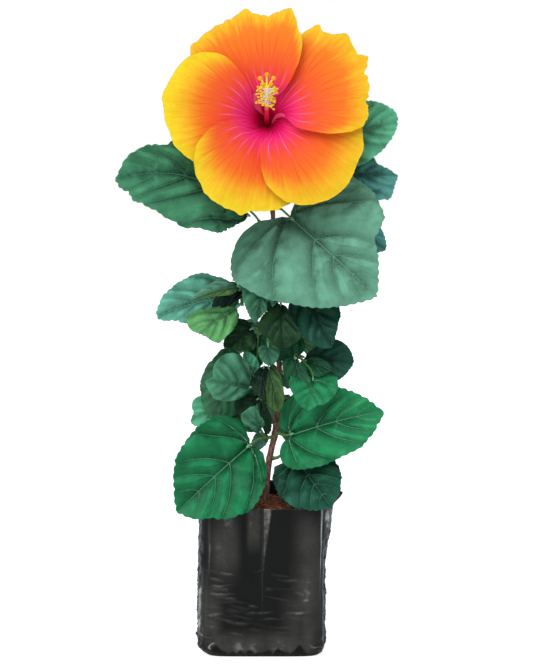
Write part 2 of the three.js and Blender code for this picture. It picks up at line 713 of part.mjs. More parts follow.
export default hibiscus;
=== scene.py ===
import math

import bpy
import numpy as np
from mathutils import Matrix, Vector, noise


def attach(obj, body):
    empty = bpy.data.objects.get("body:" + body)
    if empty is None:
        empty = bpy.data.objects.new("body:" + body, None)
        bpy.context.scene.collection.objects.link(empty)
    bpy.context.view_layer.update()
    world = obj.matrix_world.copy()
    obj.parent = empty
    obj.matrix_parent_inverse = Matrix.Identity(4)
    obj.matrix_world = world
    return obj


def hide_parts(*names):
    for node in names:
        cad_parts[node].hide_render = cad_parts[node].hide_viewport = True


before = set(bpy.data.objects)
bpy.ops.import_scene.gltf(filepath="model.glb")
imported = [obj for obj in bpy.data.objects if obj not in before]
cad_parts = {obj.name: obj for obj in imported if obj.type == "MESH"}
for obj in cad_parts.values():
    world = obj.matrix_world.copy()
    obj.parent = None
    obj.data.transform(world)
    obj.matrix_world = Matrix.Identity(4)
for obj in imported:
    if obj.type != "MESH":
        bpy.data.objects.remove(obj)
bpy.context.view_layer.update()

# Young hibiscus in a black grow bag, with one wide open bloom. Sizes are in millimetres until a
# piece is made, +Z is up, the bloom faces -Y and the origin is the centre of the bag's underside.
MM = 0.001
GAP = 0.3
GOLDEN = 0.618034
TURN = 2 * math.pi
# A direction that no limb starts along
FIRST_SIDE = (0.31, 0.17, 0.93)
LUMP_SIZE = 0.6

# Grow bag and potting mix, with the sizes that their solids have
BAG_HALF = 51
BAG_SQUARENESS = 7
RIM_FRONT = 118
RIM_BACK = 127
RIM_TUCK = 0.6
RIM_FLARE = 5
FOOT_ROUND = 8
FOOT_TUCK = -6
FLARE_START = 55
RIM_TUFT = 9
TUFT_BEARING = math.radians(8)
TUFT_SPREAD = math.radians(12)
MIX_LEVEL = 113
MIX_CROWN = 1.5
BAG_OUTSIDE = [(FOOT_ROUND, 0), (35, 0.6), (65, 0.4), (95, -0.4), (RIM_FRONT, -RIM_TUCK)]

# Folds and creases of the film, and crumbs of the mix, which the solids leave out
BAG_GRID = (460, 150)
INSIDE_LOWEST = 70
UNDERSIDE_REACH = 44.5
UNDERSIDE_RINGS = 6
FILM = 0.35
WAIST = 2.8
FOLD_AT = 43.5
FOLD_RISE = 1.1
SEAM_AT = -0.6
SEAM_RISE = 0.5
GUSSET_DEPTH = 3.2
GUSSET_SEAM = 0.8
PLEAT_FOOT = 68
PLEAT_MOUTH = 7.4
PLEAT_DEPTH = 1.1
RIM_CRUMPLE = 2.4
RUCK_COUNT = 60
RUCK_RISE = 0.8
# Painted sheens of the front, colour that stands in for reflected light, as (strength, left, right,
# softness, height where it starts, height from where it is full)
SHEENS = [(0.46, -40, -20, 5, 52, 84), (0.4, -12, -2, 2, 78, 104), (0.44, 27, 45, 9, 124, 86),
          (0.3, 18, 45, 9, 60, 40), (0.46, -90, 90, 5, 26, 11), (0.34, -52, -34, 5, 80, 40)]
MIX_GRID = (200, 60)
MIX_EDGE_HEIGHT = 100.0
MIX_ROOM = 3.2
GUSSET_ROOM = 4
MIX_HEAP = 5.5
HEAP_SPREAD = 26
MIX_SKIRT = [(MIX_LEVEL - 6, 0.96), (96, 0.88)]
CRUMB_COUNT = 260
CRUMB_SIZE = (0.7, 2.6)
FIBRE_COUNT = 70
FIBRE_LENGTH = (5, 15)
FIBRE_RADIUS = 0.2

# Studio, in metres
FLOOR = 40
FLOOR_GLOW = 0.75
SKY_LIGHT = (0.33, 0.86)
SKY_TINT = "#E2EEFF"
KEY_POWER = 1.42
KEY_SPREAD = math.radians(46)
KEY_WAY = (0.24, 0.8, -0.68)
SOFTBOXES = [("strip_left", (-1.1, -1.2, 0.75), (0, 0, 0.25), (0.35, 1.4), 3),
             ("strip_right", (1.2, -0.8, 0.6), (0, 0, 0.2), (0.3, 1.2), 1.2)]
CAMERA_PLACE = (0.0028, -1.7956, 0.3776)
CAMERA_TILT = math.radians(86)
CAMERA_LENS = 121.4
CAMERA_SIGHT = 20

# Stem
STEM_FOOT = MIX_LEVEL + MIX_CROWN + GAP
STEM_PATH = [
    (2, -6, STEM_FOOT), (2, -6, STEM_FOOT + 4), (4, -4, 143), (6.5, -2, 158), (9.5, 0, 171),
    (11.5, 0, 190), (13.5, 1, 211), (13, 2, 226), (11, 2, 260), (9, 1, 300), (8, 1, 345), (6, 2, 374),
]
FOOT_RADIUS = 3.6
STEM_RADIUS = 2.6
TIP_RADIUS = 1.7
FLARE_HEIGHT = 9
NODE_SWELL = 0.35
NODE_LENGTH = 2.5
BARK_SIDES = 36
BARK_ROWS = 420
SCAR_RISE = 0.35
SCAR_DENT = 0.25

# Leaves
TWIG_RADIUS = 1.5
STALK_RADIUS = 1.1
BLADE_THICKNESS = 0.5
SIDE_SHIFT = 1.9
BLADE_HEART = 0.42
RIM_STEPS = 180
RIM_FINENESS = 2.32
RING_STEP = 1.8
BACK_FINENESS = 0.72
TOOTH_SIZE = 0.23
FOLD_SOFT = 1.5
NUDGE = 0.5
RIB_LIMIT = 0.93
HEART_ROOM = 0.3
# Ribs from the base as (degrees from the tip, bow, strength), ribs from the midrib as (share of its
# length, degrees, strength), and forks as (rib that they leave, share of its length, degrees)
BASE_RIBS = [(86, 0.12, 0.8), (120, 0.1, 0.6), (147, 0.05, 0.35)]
SIDE_RIBS = [(0.32, 56, 0.64), (0.53, 38, 0.54), (0.74, 22, 0.4)]
SIDE_RIB_BOW = 0.12
FORKED_RIBS = [(1, 0.5, 103), (3, 0.5, 133)]
FORK_BOW = 0.1
FORK_FORCE = 0.36
SMALL_BLADE = 40
FAINT_RIB = 0.4
FAINT_RIB_SMALL = 0.5
BATCH = 2000
CREASE = 0.8
PLEAT = 0.6
RULE_STEPS = (12, 16)
LARGE_BLADE = 43
STALK_SEAT = 0.08
STALK_BEND = 0.35
STALK_RISE = 0.08
STALK_STEPS = 22
STALK_SIDES = 10
TWIG_BEND = 0.5
TWIG_ROOT = 1.2
LAST_STALK = 0.93
FAN = (12, 168)
STALK_REACH = (14, 32)
STALK_SLOPE = (-0.35, 0.65)
BLADE_WIDTH = 0.8
SPACING = 0.5
TRIES = 200
SEED = 29
SMALL_SHIFT = 50
# Leaf tones as (shade, light, roughness, tone of the ribs)
LEAF_TONES = {
    "mid": ("#0B4224", "#20854E", 0.42, "pale"), "fresh": ("#366D50", "#6CCD9A", 0.42, "pale"),
    "deep": ("#1B3E29", "#4A9467", 0.4, "soft"), "grey": ("#3B5E4B", "#71AE8D", 0.45, "pale"),
    "sage": ("#264934", "#569A72", 0.45, "soft"), "blue": ("#2E5650", "#66B2A4", 0.4, "soft"),
    "teal": ("#356150", "#76CAAA", 0.42, "pale"), "bright": ("#2F542D", "#70BC6B", 0.42, "pale"),
    "olive": ("#2A3F1B", "#5F8642", 0.45, "soft"), "pine": ("#0A2A16", "#24663C", 0.42, "soft"),
    "dark": ("#051203", "#204118", 0.45, "dim"), "black": ("#020701", "#081C03", 0.5, "dim"),
    "night": ("#0A2419", "#245843", 0.4, "dim"), "dusk": ("#0D2A1E", "#29634B", 0.4, "soft"),
    "lush": ("#0F4B2A", "#289558", 0.42, "pale"), "moss": ("#143020", "#40764F", 0.42, "soft"),
}
RIB_TONES = {"pale": "#78B488", "soft": "#549474", "dim": "#2A5444"}
BLADE = dict(arch=0.1, fold=10, wave=0.08, waves=2.5, lobe=0.3, point=0.2, skew=0, at=1, bow=0, tone="mid",
             quilt=1, frill=0.006, dents=[(0, 100)], other=None)
MASSES = {
    "leaves_top_left": dict(node=338, end=(-4, -6, 343), leaves=[
        dict(base=(-8, -12, 347), tip=(-114, -46, 375), width=66, bow=-0.12, face=(-0.06, -0.85, 0.5),
             point=0, lobe=0, skew=0.11, tone="deep",
             dents=[(0, 100), (30, 96), (60, 118), (90, 153), (105, 150), (120, 114), (135, 98), (150, 91),
                    (240, 99), (285, 92), (300, 85), (315, 100), (330, 104), (345, 100)]),
    ]),
    "leaves_top_front": dict(node=352, end=(14, -7, 352), leaves=[
        dict(base=(19.5, -10, 347), tip=(88.5, -51, 284.5), width=121, face=(-0.16, -0.93, 0.26), skew=-0.15,
             point=0.35, lobe=0.28, fold=4, arch=0.06, tone="grey",
             dents=[(0, 100), (15, 98), (45, 88), (60, 79), (75, 99), (105, 96), (135, 100), (165, 104),
                    (180, 100), (195, 117), (220, 108), (247, 114), (270, 104), (300, 101)]),
    ]),
    "leaves_top_right": dict(node=361, end=(28, 5, 372), leaves=[
        dict(base=(52, 4, 404), tip=(107, -8, 421), width=50, face=(0.2, -0.9, 0.3), lobe=0.15,
             tone="fresh",
             dents=[(0, 98), (30, 111), (45, 111), (75, 103), (130, 100), (240, 104), (270, 114),
                    (300, 103)]),
        dict(base=(52, 14, 374), tip=(107, 4, 379), width=44, face=(0.1, -0.9, 0.4), lobe=0.15,
             tone="blue",
             dents=[(0, 101), (45, 72), (60, 84), (90, 95), (130, 100), (210, 101), (255, 108),
                    (285, 127), (300, 147), (315, 122), (330, 108)]),
        dict(base=(58, 10, 342), tip=(98, -2, 319), width=34, face=(0.2, -0.9, 0.3), at=0.6,
             tone="blue"),
    ]),
    "leaves_upper_left": dict(node=288, end=(-10, -4, 298), leaves=[
        dict(base=(-20, 2, 283), tip=(-85, 0, 266), width=43, face=(0.3, -0.75, 0.5), point=0.1,
             lobe=0.06, tone="teal",
             dents=[(15, 100), (45, 82), (60, 90), (90, 97), (130, 100), (240, 99), (270, 108),
                    (300, 99), (315, 104), (330, 101)]),
        dict(base=(-18, -20, 291), tip=(-56, -40, 281), width=26, face=(-0.1, -0.85, 0.45), fold=24,
             tone="olive", other="grey",
             dents=[(0, 100), (30, 72), (50, 60), (100, 66), (135, 55), (165, 70), (180, 99), (195, 80),
                    (225, 50), (300, 66), (345, 92)]),
        dict(base=(-19, -16, 275), tip=(-52, -30, 252), width=38, face=(-0.2, -0.9, 0.3), fold=-12,
             tone="bright",
             dents=[(0, 88), (30, 89), (60, 111), (75, 90), (105, 66), (130, 58), (165, 70), (180, 91),
                    (195, 65), (225, 50), (255, 53), (285, 82), (300, 143), (315, 130), (345, 95)]),
    ], small=[
        # Painted shade: this near-black small leaf stands for the shaded upper part of the bright leaf
        # beside it.
        dict(base=(-17.4, -12, 287.5), tip=(-40.4, -16, 272.6), width=16, face=(-0.2, -0.8, 0.5),
             tone="black"),
    ], shoots=[([(-10, -4, 298), (-17.5, -10, 290), (-16.3, -10, 274.7)], 1.3)]),
    "leaves_upper_front": dict(node=276, end=(10, -12, 290), leaves=[
        dict(base=(0, -16, 293), tip=(-4, -24, 260), width=30, face=(0, -0.95, 0.3), tone="sage",
             dents=[(0, 76), (30, 62), (50, 62), (90, 87), (120, 96), (180, 100), (255, 106), (285, 92),
                    (300, 90), (345, 98)]),
        dict(base=(14, -22, 278), tip=(15.5, -38, 241.5), width=38, face=(0.1, -0.95, 0.3), tone="dark",
             dents=[(0, 97), (30, 99), (60, 111), (75, 64), (90, 50), (150, 50), (180, 95), (210, 93),
                    (240, 64), (270, 95), (285, 116), (315, 92), (330, 100)]),
    ], small=[
        dict(base=(4, -20, 243.5), tip=(5.6, -24, 228), width=17, face=(0.1, -0.95, 0.3), tone="sage"),
    ]),
    "leaves_upper_right": dict(node=264, end=(24, -4, 272), leaves=[
        dict(base=(33, -12, 281), tip=(55, -28, 242), width=42, face=(0.1, -0.95, 0.25), point=0.1,
             tone="night",
             dents=[(0, 97), (30, 80), (60, 78), (75, 92), (105, 98), (180, 100), (240, 95), (300, 89),
                    (315, 98)]),
        dict(base=(30, 4, 233), tip=(72, -2, 228), width=38, face=(0.1, -0.9, 0.4), at=0.5,
             tone="night",
             dents=[(0, 101), (50, 111), (90, 93), (120, 50), (150, 50), (180, 80), (210, 95),
                    (255, 103), (285, 112), (300, 123), (330, 103)]),
    ]),
    "leaves_middle_left": dict(node=208, end=(-6, -4, 217), leaves=[
        dict(base=(-8.5, -13, 209.5), tip=(-45.5, -34, 217), width=44, face=(-0.1, -0.95, 0.3), point=0.05,
             tone="sage",
             dents=[(0, 100), (30, 96), (45, 100), (75, 70), (105, 50), (135, 50), (150, 55), (180, 92),
                    (195, 83), (225, 77), (255, 98), (285, 115), (315, 103), (345, 79)]),
        dict(base=(-9, -6, 220), tip=(-17, -12, 243), width=18, face=(0, -0.95, 0.3), tone="fresh",
             dents=[(0, 70), (45, 50), (60, 50), (90, 78), (120, 87), (165, 50), (195, 98), (215, 80),
                    (255, 92), (315, 80)]),
        dict(base=(-14, 3, 226), tip=(-41, -7, 186), width=42, face=(-0.2, -0.95, 0.2), point=0.1,
             fold=-8, tone="moss",
             dents=[(0, 108), (45, 101), (135, 101), (180, 104), (210, 112), (240, 138), (255, 125),
                    (270, 128), (300, 110), (330, 104)]),
        dict(base=(-9, -4, 256), tip=(-32, -16, 240), width=32, face=(-0.1, -0.95, 0.3), tone="dark",
             dents=[(0, 80), (45, 80), (90, 105), (120, 75), (135, 70), (165, 83), (180, 110), (225, 88),
                    (255, 94), (285, 80), (300, 57), (330, 86), (345, 91)]),
        dict(base=(-22, 10, 194.5), tip=(-58.5, 4, 182), width=30, face=(-0.1, -0.95, 0.3), at=0.6,
             tone="fresh",
             dents=[(0, 99), (30, 109), (75, 100), (120, 90), (150, 75), (180, 97), (240, 101),
                    (285, 113), (300, 125), (330, 90)]),
    ], small=[
        dict(base=(-4, 1, 250), tip=(-8, -1, 222), width=20, face=(0, -0.95, 0.3), tone="pine"),
        dict(base=(4, 6, 214), tip=(-8, 4, 196), width=16, face=(0, -0.95, 0.3), tone="dark"),
    ]),
    "leaves_middle_front": dict(node=218, end=(3, -9, 219), leaves=[
        dict(base=(-4, -9, 200), tip=(-21.5, -12, 192.5), width=16, face=(-0.1, -0.95, 0.3), tone="dark",
             dents=[(0, 104), (15, 108), (45, 135), (60, 80), (90, 58), (150, 62), (180, 95), (210, 72),
                    (240, 86), (270, 65), (300, 95), (315, 118)]),
        dict(base=(-2, -9, 201), tip=(5, -12, 177), width=10, face=(-0.1, -0.95, 0.3), tone="dark",
             dents=[(0, 119), (15, 119), (45, 107), (60, 109), (90, 70), (135, 50), (165, 58), (195, 85),
                    (240, 73), (270, 80), (285, 95), (315, 166), (345, 125)]),
        dict(base=(1, -15, 227), tip=(-2, -30, 200), width=13, face=(-0.3, -0.9, 0.2), tone="black",
             dents=[(0, 84), (15, 89), (45, 131), (60, 62), (100, 52), (130, 58), (180, 106), (200, 84),
                    (240, 83), (285, 122), (315, 90)]),
        dict(base=(4, -15, 227), tip=(13, -24, 191), width=15, face=(0.2, -0.95, 0.2), tone="olive",
             dents=[(0, 95), (45, 104), (150, 97), (180, 87), (220, 62), (255, 80), (295, 138),
                    (330, 106)]),
    ]),
    "leaves_middle_right": dict(node=236, end=(30, -7, 233), leaves=[
        dict(base=(28, -6, 251), tip=(10, -8, 226), width=26, face=(0.1, -0.95, 0.3), tone="pine",
             dents=[(0, 70), (45, 60), (90, 78), (112, 92), (142, 82), (180, 95), (240, 100), (315, 106),
                    (330, 111), (345, 80)]),
        dict(base=(33, -8, 231), tip=(56, -18, 223), width=18, face=(0.1, -0.9, 0.4), tone="pine",
             dents=[(0, 89), (15, 96), (60, 77), (90, 62), (130, 60), (180, 101), (210, 70), (240, 72),
                    (255, 89), (270, 133), (285, 138), (315, 96), (345, 88)]),
        dict(base=(25, -22, 235), tip=(30.5, -33, 207), width=26, face=(0.1, -0.9, 0.3), tone="pine",
             dents=[(0, 98), (30, 106), (60, 90), (78, 54), (155, 50), (180, 95), (225, 88), (240, 95),
                    (300, 83), (315, 99), (330, 103)]),
        dict(base=(39.5, -24, 217.5), tip=(34, -44, 193.5), width=38, face=(0.2, -0.8, 0.5), tone="lush",
             dents=[(0, 99), (15, 95), (40, 78), (60, 93), (90, 101), (120, 115), (135, 134), (150, 170),
                    (165, 170), (180, 114), (210, 104), (270, 100), (330, 96), (345, 92)]),
    ], small=[
        dict(base=(15.9, -12, 220.6), tip=(20.7, -14, 208.8), width=9, face=(0.1, -0.95, 0.3), tone="sage"),
    ]),
    "leaves_low_left": dict(node=169, end=(2, -9, 169), leaves=[
        dict(base=(-9, -24, 166.5), tip=(-66, -60, 118), width=76, face=(0.25, -0.9, 0.44), skew=-0.31,
             point=0.08, lobe=0.05, tone="mid",
             dents=[(0, 102), (30, 100), (45, 93), (60, 99), (105, 104), (120, 102), (150, 113),
                    (165, 115), (180, 100), (195, 107), (240, 103), (270, 97), (300, 98), (330, 93)]),
        dict(base=(-2, -16, 174), tip=(-7, -24, 196), width=20, face=(0, -0.95, 0.2), tone="sage",
             dents=[(0, 101), (15, 104), (45, 126), (60, 155), (75, 146), (90, 94), (105, 75), (127, 63),
                    (165, 82), (180, 103), (195, 50), (315, 50), (330, 75)]),
    ], small=[
        dict(base=(1, 0, 171), tip=(-8, -1, 157.5), width=12, face=(0, -0.95, 0.3), tone="grey"),
        dict(base=(-6, -4, 179), tip=(-25, -4, 187), width=17, face=(0, -0.95, 0.3), tone="sage"),
    ]),
    "leaves_low_right": dict(node=172, end=(16, -6, 171), leaves=[
        dict(base=(19, -12, 171), tip=(95.5, -33, 193.5), width=62, face=(0, -0.88, 0.3), skew=-0.18,
             lobe=0.14, tone="lush",
             dents=[(0, 100), (15, 94), (60, 92), (105, 101), (135, 110), (165, 115), (180, 100),
                    (195, 118), (225, 114), (262, 105), (300, 108), (330, 99)]),
    ]),
    "leaves_foot_right": dict(node=152, end=(15, -3, 155), leaves=[
        dict(base=(26.5, -3, 151), tip=(53, -60, 121), width=51, face=(-0.14, -0.9, 0.35), skew=-0.31,
             point=0.08, lobe=0, arch=0.02, fold=4, tone="dusk",
             dents=[(0, 97), (85, 92), (105, 96), (165, 104), (195, 116), (210, 131), (225, 116),
                    (245, 110), (285, 107), (300, 102)]),
    ]),
    "leaves_top_back": dict(node=367, end=(3, 17, 380), leaves=[], grown=dict(
        count=6, low=(-64, 10, 350), high=(70, 72, 486), length=(44, 62), pitch=(-60, 40))),
    "leaves_upper_back": dict(node=304, end=(8, 16, 314), leaves=[], grown=dict(
        count=5, low=(-28, 7, 272), high=(84, 70, 348), length=(38, 56), pitch=(0, 65))),
    "leaves_middle_back": dict(node=240, end=(10, 16, 250), leaves=[], grown=dict(
        count=5, low=(-40, 9, 208), high=(60, 68, 270), length=(36, 52), pitch=(0, 65))),
    "leaves_low_back": dict(node=180, end=(12, 16, 188), leaves=[], grown=dict(
        count=5, low=(-54, 9, 140), high=(72, 68, 206), length=(38, 56), pitch=(0, 65))),
}
GROWN_TONES = ("mid", "deep", "teal")

# Bloom
THROAT = (3, -14, 420)
BLOOM_TIP_UP = math.radians(11)
BLOOM_AXES = np.array([[1, 0, 0], [0, math.sin(BLOOM_TIP_UP), math.cos(BLOOM_TIP_UP)],
                       [0, -math.cos(BLOOM_TIP_UP), math.sin(BLOOM_TIP_UP)]])
PETAL_COUNT = 5
PETAL_THICKNESS = 0.5
PETAL_GRID = (96, 170)
PETAL_REACH = 80
CLAW_START = 3.8
CLAW_HALF_ANGLE = 35
CLAW_OPENS = (8, 26)
SHOULDER = 42
FUNNEL_DEPTH = 33
FUNNEL_SCALE = 14
REFLEX = 4
OVERLAP_LIFT = 6
OVERLAP_ANGLE = 50
CLAW_CURL = 3.2
RUFFLE = 1.1
RUFFLE_WAVES = 11
CALYX_LENGTH = 14
CALYX_CLEARANCE = 3.2
CALYX_SIDES = 100
CALYX_RIB = 0.22
CALYX_FLOOR = 3.4
CALYX_OUTSIDE = [(1.6, -CALYX_LENGTH), (4, 1.5 - CALYX_LENGTH), (6.2, -8), (7, -2), (8, 4)]
SEPAL_REACH = (7, 16)
SEPAL_THICKNESS = 1.2
FLOWER_STALK_BEND = 18
FLOWER_STALK_END = 1.5
FLOWER_JOINT = 0.5
COLUMN_RADIUS = 2.4
COLUMN_PATH = [(0, 0, -2.1), (0, 0, 14), (0, 4, 28), (0, 10, 38), (0, 17, 44)]
ANTHER_COUNT = 70
ANTHERS_ALONG = (0.7, 0.995)
ANTHER_SIZE = (0.75, 1.15)
FILAMENT_REACH = (4.6, 9.2)
STIGMA_COUNT = 5
STIGMA_SIZE = 1.8
STIGMA_SPREAD = (5.4, 4.2)
STYLE_RADIUS = 0.75
STYLE_RISE = (0, 7, 2.6)
# Filaments, anthers, stigma pads and styles as (name, colour, roughness)
POLLEN_KINDS = [("filament_white", "#FFFBEA", 0.5), ("pollen_gold", "#FFDA12", 0.85),
                ("stigma_down", "#FFB414", 0.9), ("style_yellow", "#FFE650", 0.5)]
BRACT_COUNT = 8
BRACT_STEPS = 12
BRACT_PATH = [(3, -13), (9, -12), (14, -5)]
# Curled ears beside the column, each as the corners of its middle line with its width
EARS = [([(-9.5, 17.5), (-9, 13), (-6.5, 8.5), (-2.5, 5)], 5.4),
        ([(4, -1), (8.5, 2.4), (12, 2.2), (15.5, -1)], 3.6)]
EAR_RISE = 1.2
EAR_BULGE = 0.7
# margin is the petal's outline as (degrees from its middle, reach), from its free edge to its
# covered edge, and nicked is how ragged it is.
PETALS = [
    dict(bearing=106, gold=0.08, rim="#FAC81C", nicked=1.0, margin=[
        (-52, 30), (-48.5, 46.5), (-41.5, 65), (-35, 73), (-32.5, 80), (-28.5, 87), (-24, 82.5),
        (-17, 77.5), (-9, 80.5), (-5, 87.5), (0, 83), (5, 80.5), (31, 81.5), (36, 76), (50, 42)]),
    dict(bearing=37, gold=0.11, rim="#FAC81C", nicked=1.2, margin=[
        (-63, 30), (-57.5, 49.5), (-50.5, 67), (-46, 74.5), (-38, 79.5), (-31, 78), (-24, 82.5),
        (-17, 85), (-13, 83.5), (-10.5, 88), (-6.5, 91.5), (-3, 87), (5, 88), (9.5, 91), (14.5, 81.5),
        (20, 80), (24, 84), (30, 70), (50, 42)]),
    dict(bearing=-35, gold=0.15, rim="#FACE20", nicked=0.35, margin=[
        (-65, 29), (-61.5, 43), (-55, 57.5), (-44.5, 70.5), (-34, 78), (-26, 80.5), (-18, 83),
        (-8, 84), (0, 82), (6, 80), (15, 80), (21, 77), (30, 74), (40, 66), (50, 42)]),
    dict(bearing=-102, gold=0.18, rim="#FBDA22", nicked=0.5, margin=[
        (-66, 28), (-64, 38.5), (-60.5, 47), (-52.5, 60), (-43.5, 68.5), (-37, 73), (-30, 75.5),
        (-26, 79), (-15, 81), (-6, 80.5), (-2.5, 82.5), (3, 77), (18, 76), (24, 73.5), (32, 70),
        (50, 42)]),
    dict(bearing=180, gold=0.2, rim="#FBDC1C", nicked=0.5, margin=[
        (-59, 28), (-57, 42), (-54, 54), (-50, 61), (-42, 71), (-37, 75), (-30, 78),
        (-18, 80.5), (-9, 83), (-4, 80.5), (6, 79), (10, 76.5), (18, 76), (24, 73), (35, 67), (52, 42)]),
]


# Numbers and curves
def lerp(start, end, share):
    """The value that lies that share of the way from start to end."""
    return start + (end - start) * share


def smoothstep(value, low, high):
    """Rises smoothly from 0 at low to 1 at high, or falls where low is the higher one."""
    share = np.clip((value - low) / (high - low), 0, 1)
    return share * share * (3 - 2 * share)


def hump(off, width):
    """A smooth hump, which is 1 where off is 0 and fades out over about twice the width."""
    return np.exp(-(off / width) ** 2)


def unit(vectors):
    """The vectors with a length of 1."""
    vectors = np.asarray(vectors, float)
    return vectors / np.maximum(np.linalg.norm(vectors, axis=-1, keepdims=True), 1e-12)


def seeded(seed):
    """The source's generator of even numbers from 0 to 1."""
    state = seed

    def draw():
        nonlocal state
        state = state * 16807 % 2147483647
        return state / 2147483647
    return draw


def wander(points, size, seed=0.0):
    """Smooth noise from -1 to 1 at each point, with features of that size in millimetres."""
    shift = Vector((seed * 17.3, seed * 5.1, seed * 9.7))
    flat = np.asarray(points, float).reshape(-1, 3) / size
    values = [noise.noise(Vector(p) + shift) for p in flat]
    return np.array(values).reshape(np.shape(points)[:-1])


def bezier(corners, steps):
    """Points of a quadratic or cubic Bezier curve."""
    t = np.linspace(0, 1, steps)[:, None]
    rows = [np.asarray(c, float) for c in corners]
    while len(rows) > 1:
        rows = [a * (1 - t) + b * t for a, b in zip(rows, rows[1:])]
    return rows[0]


def smooth_path(points, steps):
    """Centripetal Catmull-Rom curve through the points, with `steps` points to each stretch."""
    p = np.asarray(points, float)
    p = np.vstack([2 * p[0] - p[1], p, 2 * p[-1] - p[-2]])
    path = []
    for k in range(len(p) - 3):
        a, b, c, d = p[k:k + 4]
        before, here, after = (np.sqrt(np.linalg.norm(v)) for v in (b - a, c - b, d - c))
        start = ((b - a) / before - (c - a) / (before + here) + (c - b) / here) * here
        end = ((c - b) / here - (d - b) / (here + after) + (d - c) / after) * here
        t = np.arange(steps)[:, None] / steps
        path.append(b + start * t + (3 * c - 3 * b - 2 * start - end) * t ** 2
                    + (2 * b - 2 * c + start + end) * t ** 3)
    return np.vstack([*path, p[-2:-1]])


# Making meshes
class Shape:
    """Points and faces that grow into one piece. A part's faces come in groups, each with the number
    of its finish, or a row of numbers that repeats from face to face. Its marks are columns of numbers
    for each point, kept as UV maps."""

    def __init__(self, maps=("Marks",)):
        self.maps = maps
        self.points, self.marks, self.corners, self.sizes, self.finishes = [], [], [], [], []
        self.count = 0

    def add(self, points, groups, marks=None):
        points = np.asarray(points, float).reshape(-1, 3)
        width = 2 * len(self.maps)
        self.points.append(points)
        self.marks.append(np.zeros((len(points), width)) if marks is None else marks.reshape(-1, width))
        for faces, finish in groups:
            self.corners.append((faces + self.count).ravel())
            self.sizes.append(np.full(len(faces), faces.shape[1]))
            self.finishes.append(np.resize(finish, len(faces)))
        self.count += len(points)


def piece(name, shape, finishes, nodes=()):
    """One smooth mesh piece from a shape, riding on the body, in place of the named nodes."""
    points = np.vstack(shape.points) * MM
    corners, sizes = np.concatenate(shape.corners), np.concatenate(shape.sizes)
    mesh = bpy.data.meshes.new(name)
    mesh.vertices.add(len(points))
    mesh.vertices.foreach_set("co", points.ravel())
    mesh.loops.add(len(corners))
    mesh.loops.foreach_set("vertex_index", corners)
    mesh.polygons.add(len(sizes))
    mesh.polygons.foreach_set("loop_start", np.concatenate([[0], np.cumsum(sizes)[:-1]]))
    mesh.polygons.foreach_set("material_index", np.concatenate(shape.finishes))
    mesh.polygons.foreach_set("use_smooth", np.ones(len(sizes), bool))
    marks = np.vstack(shape.marks)[corners]
    for k, map_name in enumerate(shape.maps):
        layer = mesh.uv_layers.new(name=map_name)
        layer.uv.foreach_set("vector", marks[:, 2 * k:2 * k + 2].ravel())
    for finish in finishes:
        mesh.materials.append(finish)
    mesh.validate()
    mesh.update()
    made = bpy.data.objects.new(name, mesh)
    bpy.context.scene.collection.objects.link(made)
    if nodes:
        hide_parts(*nodes)
    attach(made, "root")
    return made


def strip_faces(rows, columns, closed=True):
    """Quads of a grid of rows by columns; closed joins the last column to the first."""
    span = np.arange(columns if closed else columns - 1)
    a = (np.arange(rows - 1)[:, None] * columns + span).ravel()
    b = (np.arange(rows - 1)[:, None] * columns + (span + 1) % columns).ravel()
    return np.stack([a, b, b + columns, a + columns], 1)


def fan_faces(hub, ring):
    """Triangles from one point to a closed ring of points."""
    return np.stack([np.full(len(ring), hub), ring, np.roll(ring, -1)], 1)


def add_rings(shape, rings, ends, finish=0, marks=None):
    """Closed limb from rings of points, with a middle point for each of its two ends. marks holds
    the marks of each ring."""
    count, sides = np.shape(rings)[:2]
    ring = np.arange(sides)
    first_end = count * sides
    if marks is not None:
        marks = np.vstack([np.repeat(marks, sides, 0), marks[:1], marks[-1:]])
    shape.add(np.vstack([np.reshape(rings, (-1, 3)), ends]),
              [(strip_faces(count, sides), finish), (fan_faces(first_end, ring[::-1]), finish),
               (fan_faces(first_end + 1, ring + first_end - sides), finish)], marks)


def add_tube(shape, path, radius, sides, finish=0, marks=None):
    """Closed round limb along a path. radius is one number, one for each step, or a grid of them."""
    path = np.asarray(path, float)
    tangent = unit(np.gradient(path, axis=0))
    side = np.cross(tangent[0], FIRST_SIDE)
    normals = []
    for t in tangent:
        side = unit(side - t * np.dot(side, t))
        normals.append(side)
    normals = np.array(normals)
    other = np.cross(tangent, normals)
    turn = TURN * np.arange(sides) / sides
    reach = np.asarray(radius, float)
    reach = np.broadcast_to(reach[:, None] if reach.ndim == 1 else reach, (len(path), sides))[..., None]
    around = np.cos(turn)[None, :, None] * normals[:, None] + np.sin(turn)[None, :, None] * other[:, None]
    add_rings(shape, path[:, None] + reach * around, path[[0, -1]], finish, marks)


def add_ball(shape, middle, radius, finish=0, steps=(5, 8), squash=(1, 1, 1), rough=0.0, seed=0):
    """Closed lump: a ball that is pressed to an oval and made uneven."""
    rows, sides = steps
    polar = np.pi * np.arange(1, rows) / rows
    turn = TURN * np.arange(sides) / sides
    ring = np.stack([np.sin(polar)[:, None] * np.cos(turn), np.sin(polar)[:, None] * np.sin(turn),
                     np.repeat(np.cos(polar)[:, None], sides, 1)], -1).reshape(-1, 3)
    ball = np.vstack([ring, (0, 0, 1), (0, 0, -1)])
    if rough:
        ball = ball * (1 + rough * wander(ball, LUMP_SIZE, seed))[:, None]
    count = (rows - 1) * sides
    last = np.arange(sides)
    shape.add(np.asarray(middle) + ball * radius * np.array(squash),
              [(strip_faces(rows - 1, sides)[:, ::-1], finish), (fan_faces(count, last), finish),
               (fan_faces(count + 1, last[::-1] + count - sides), finish)])


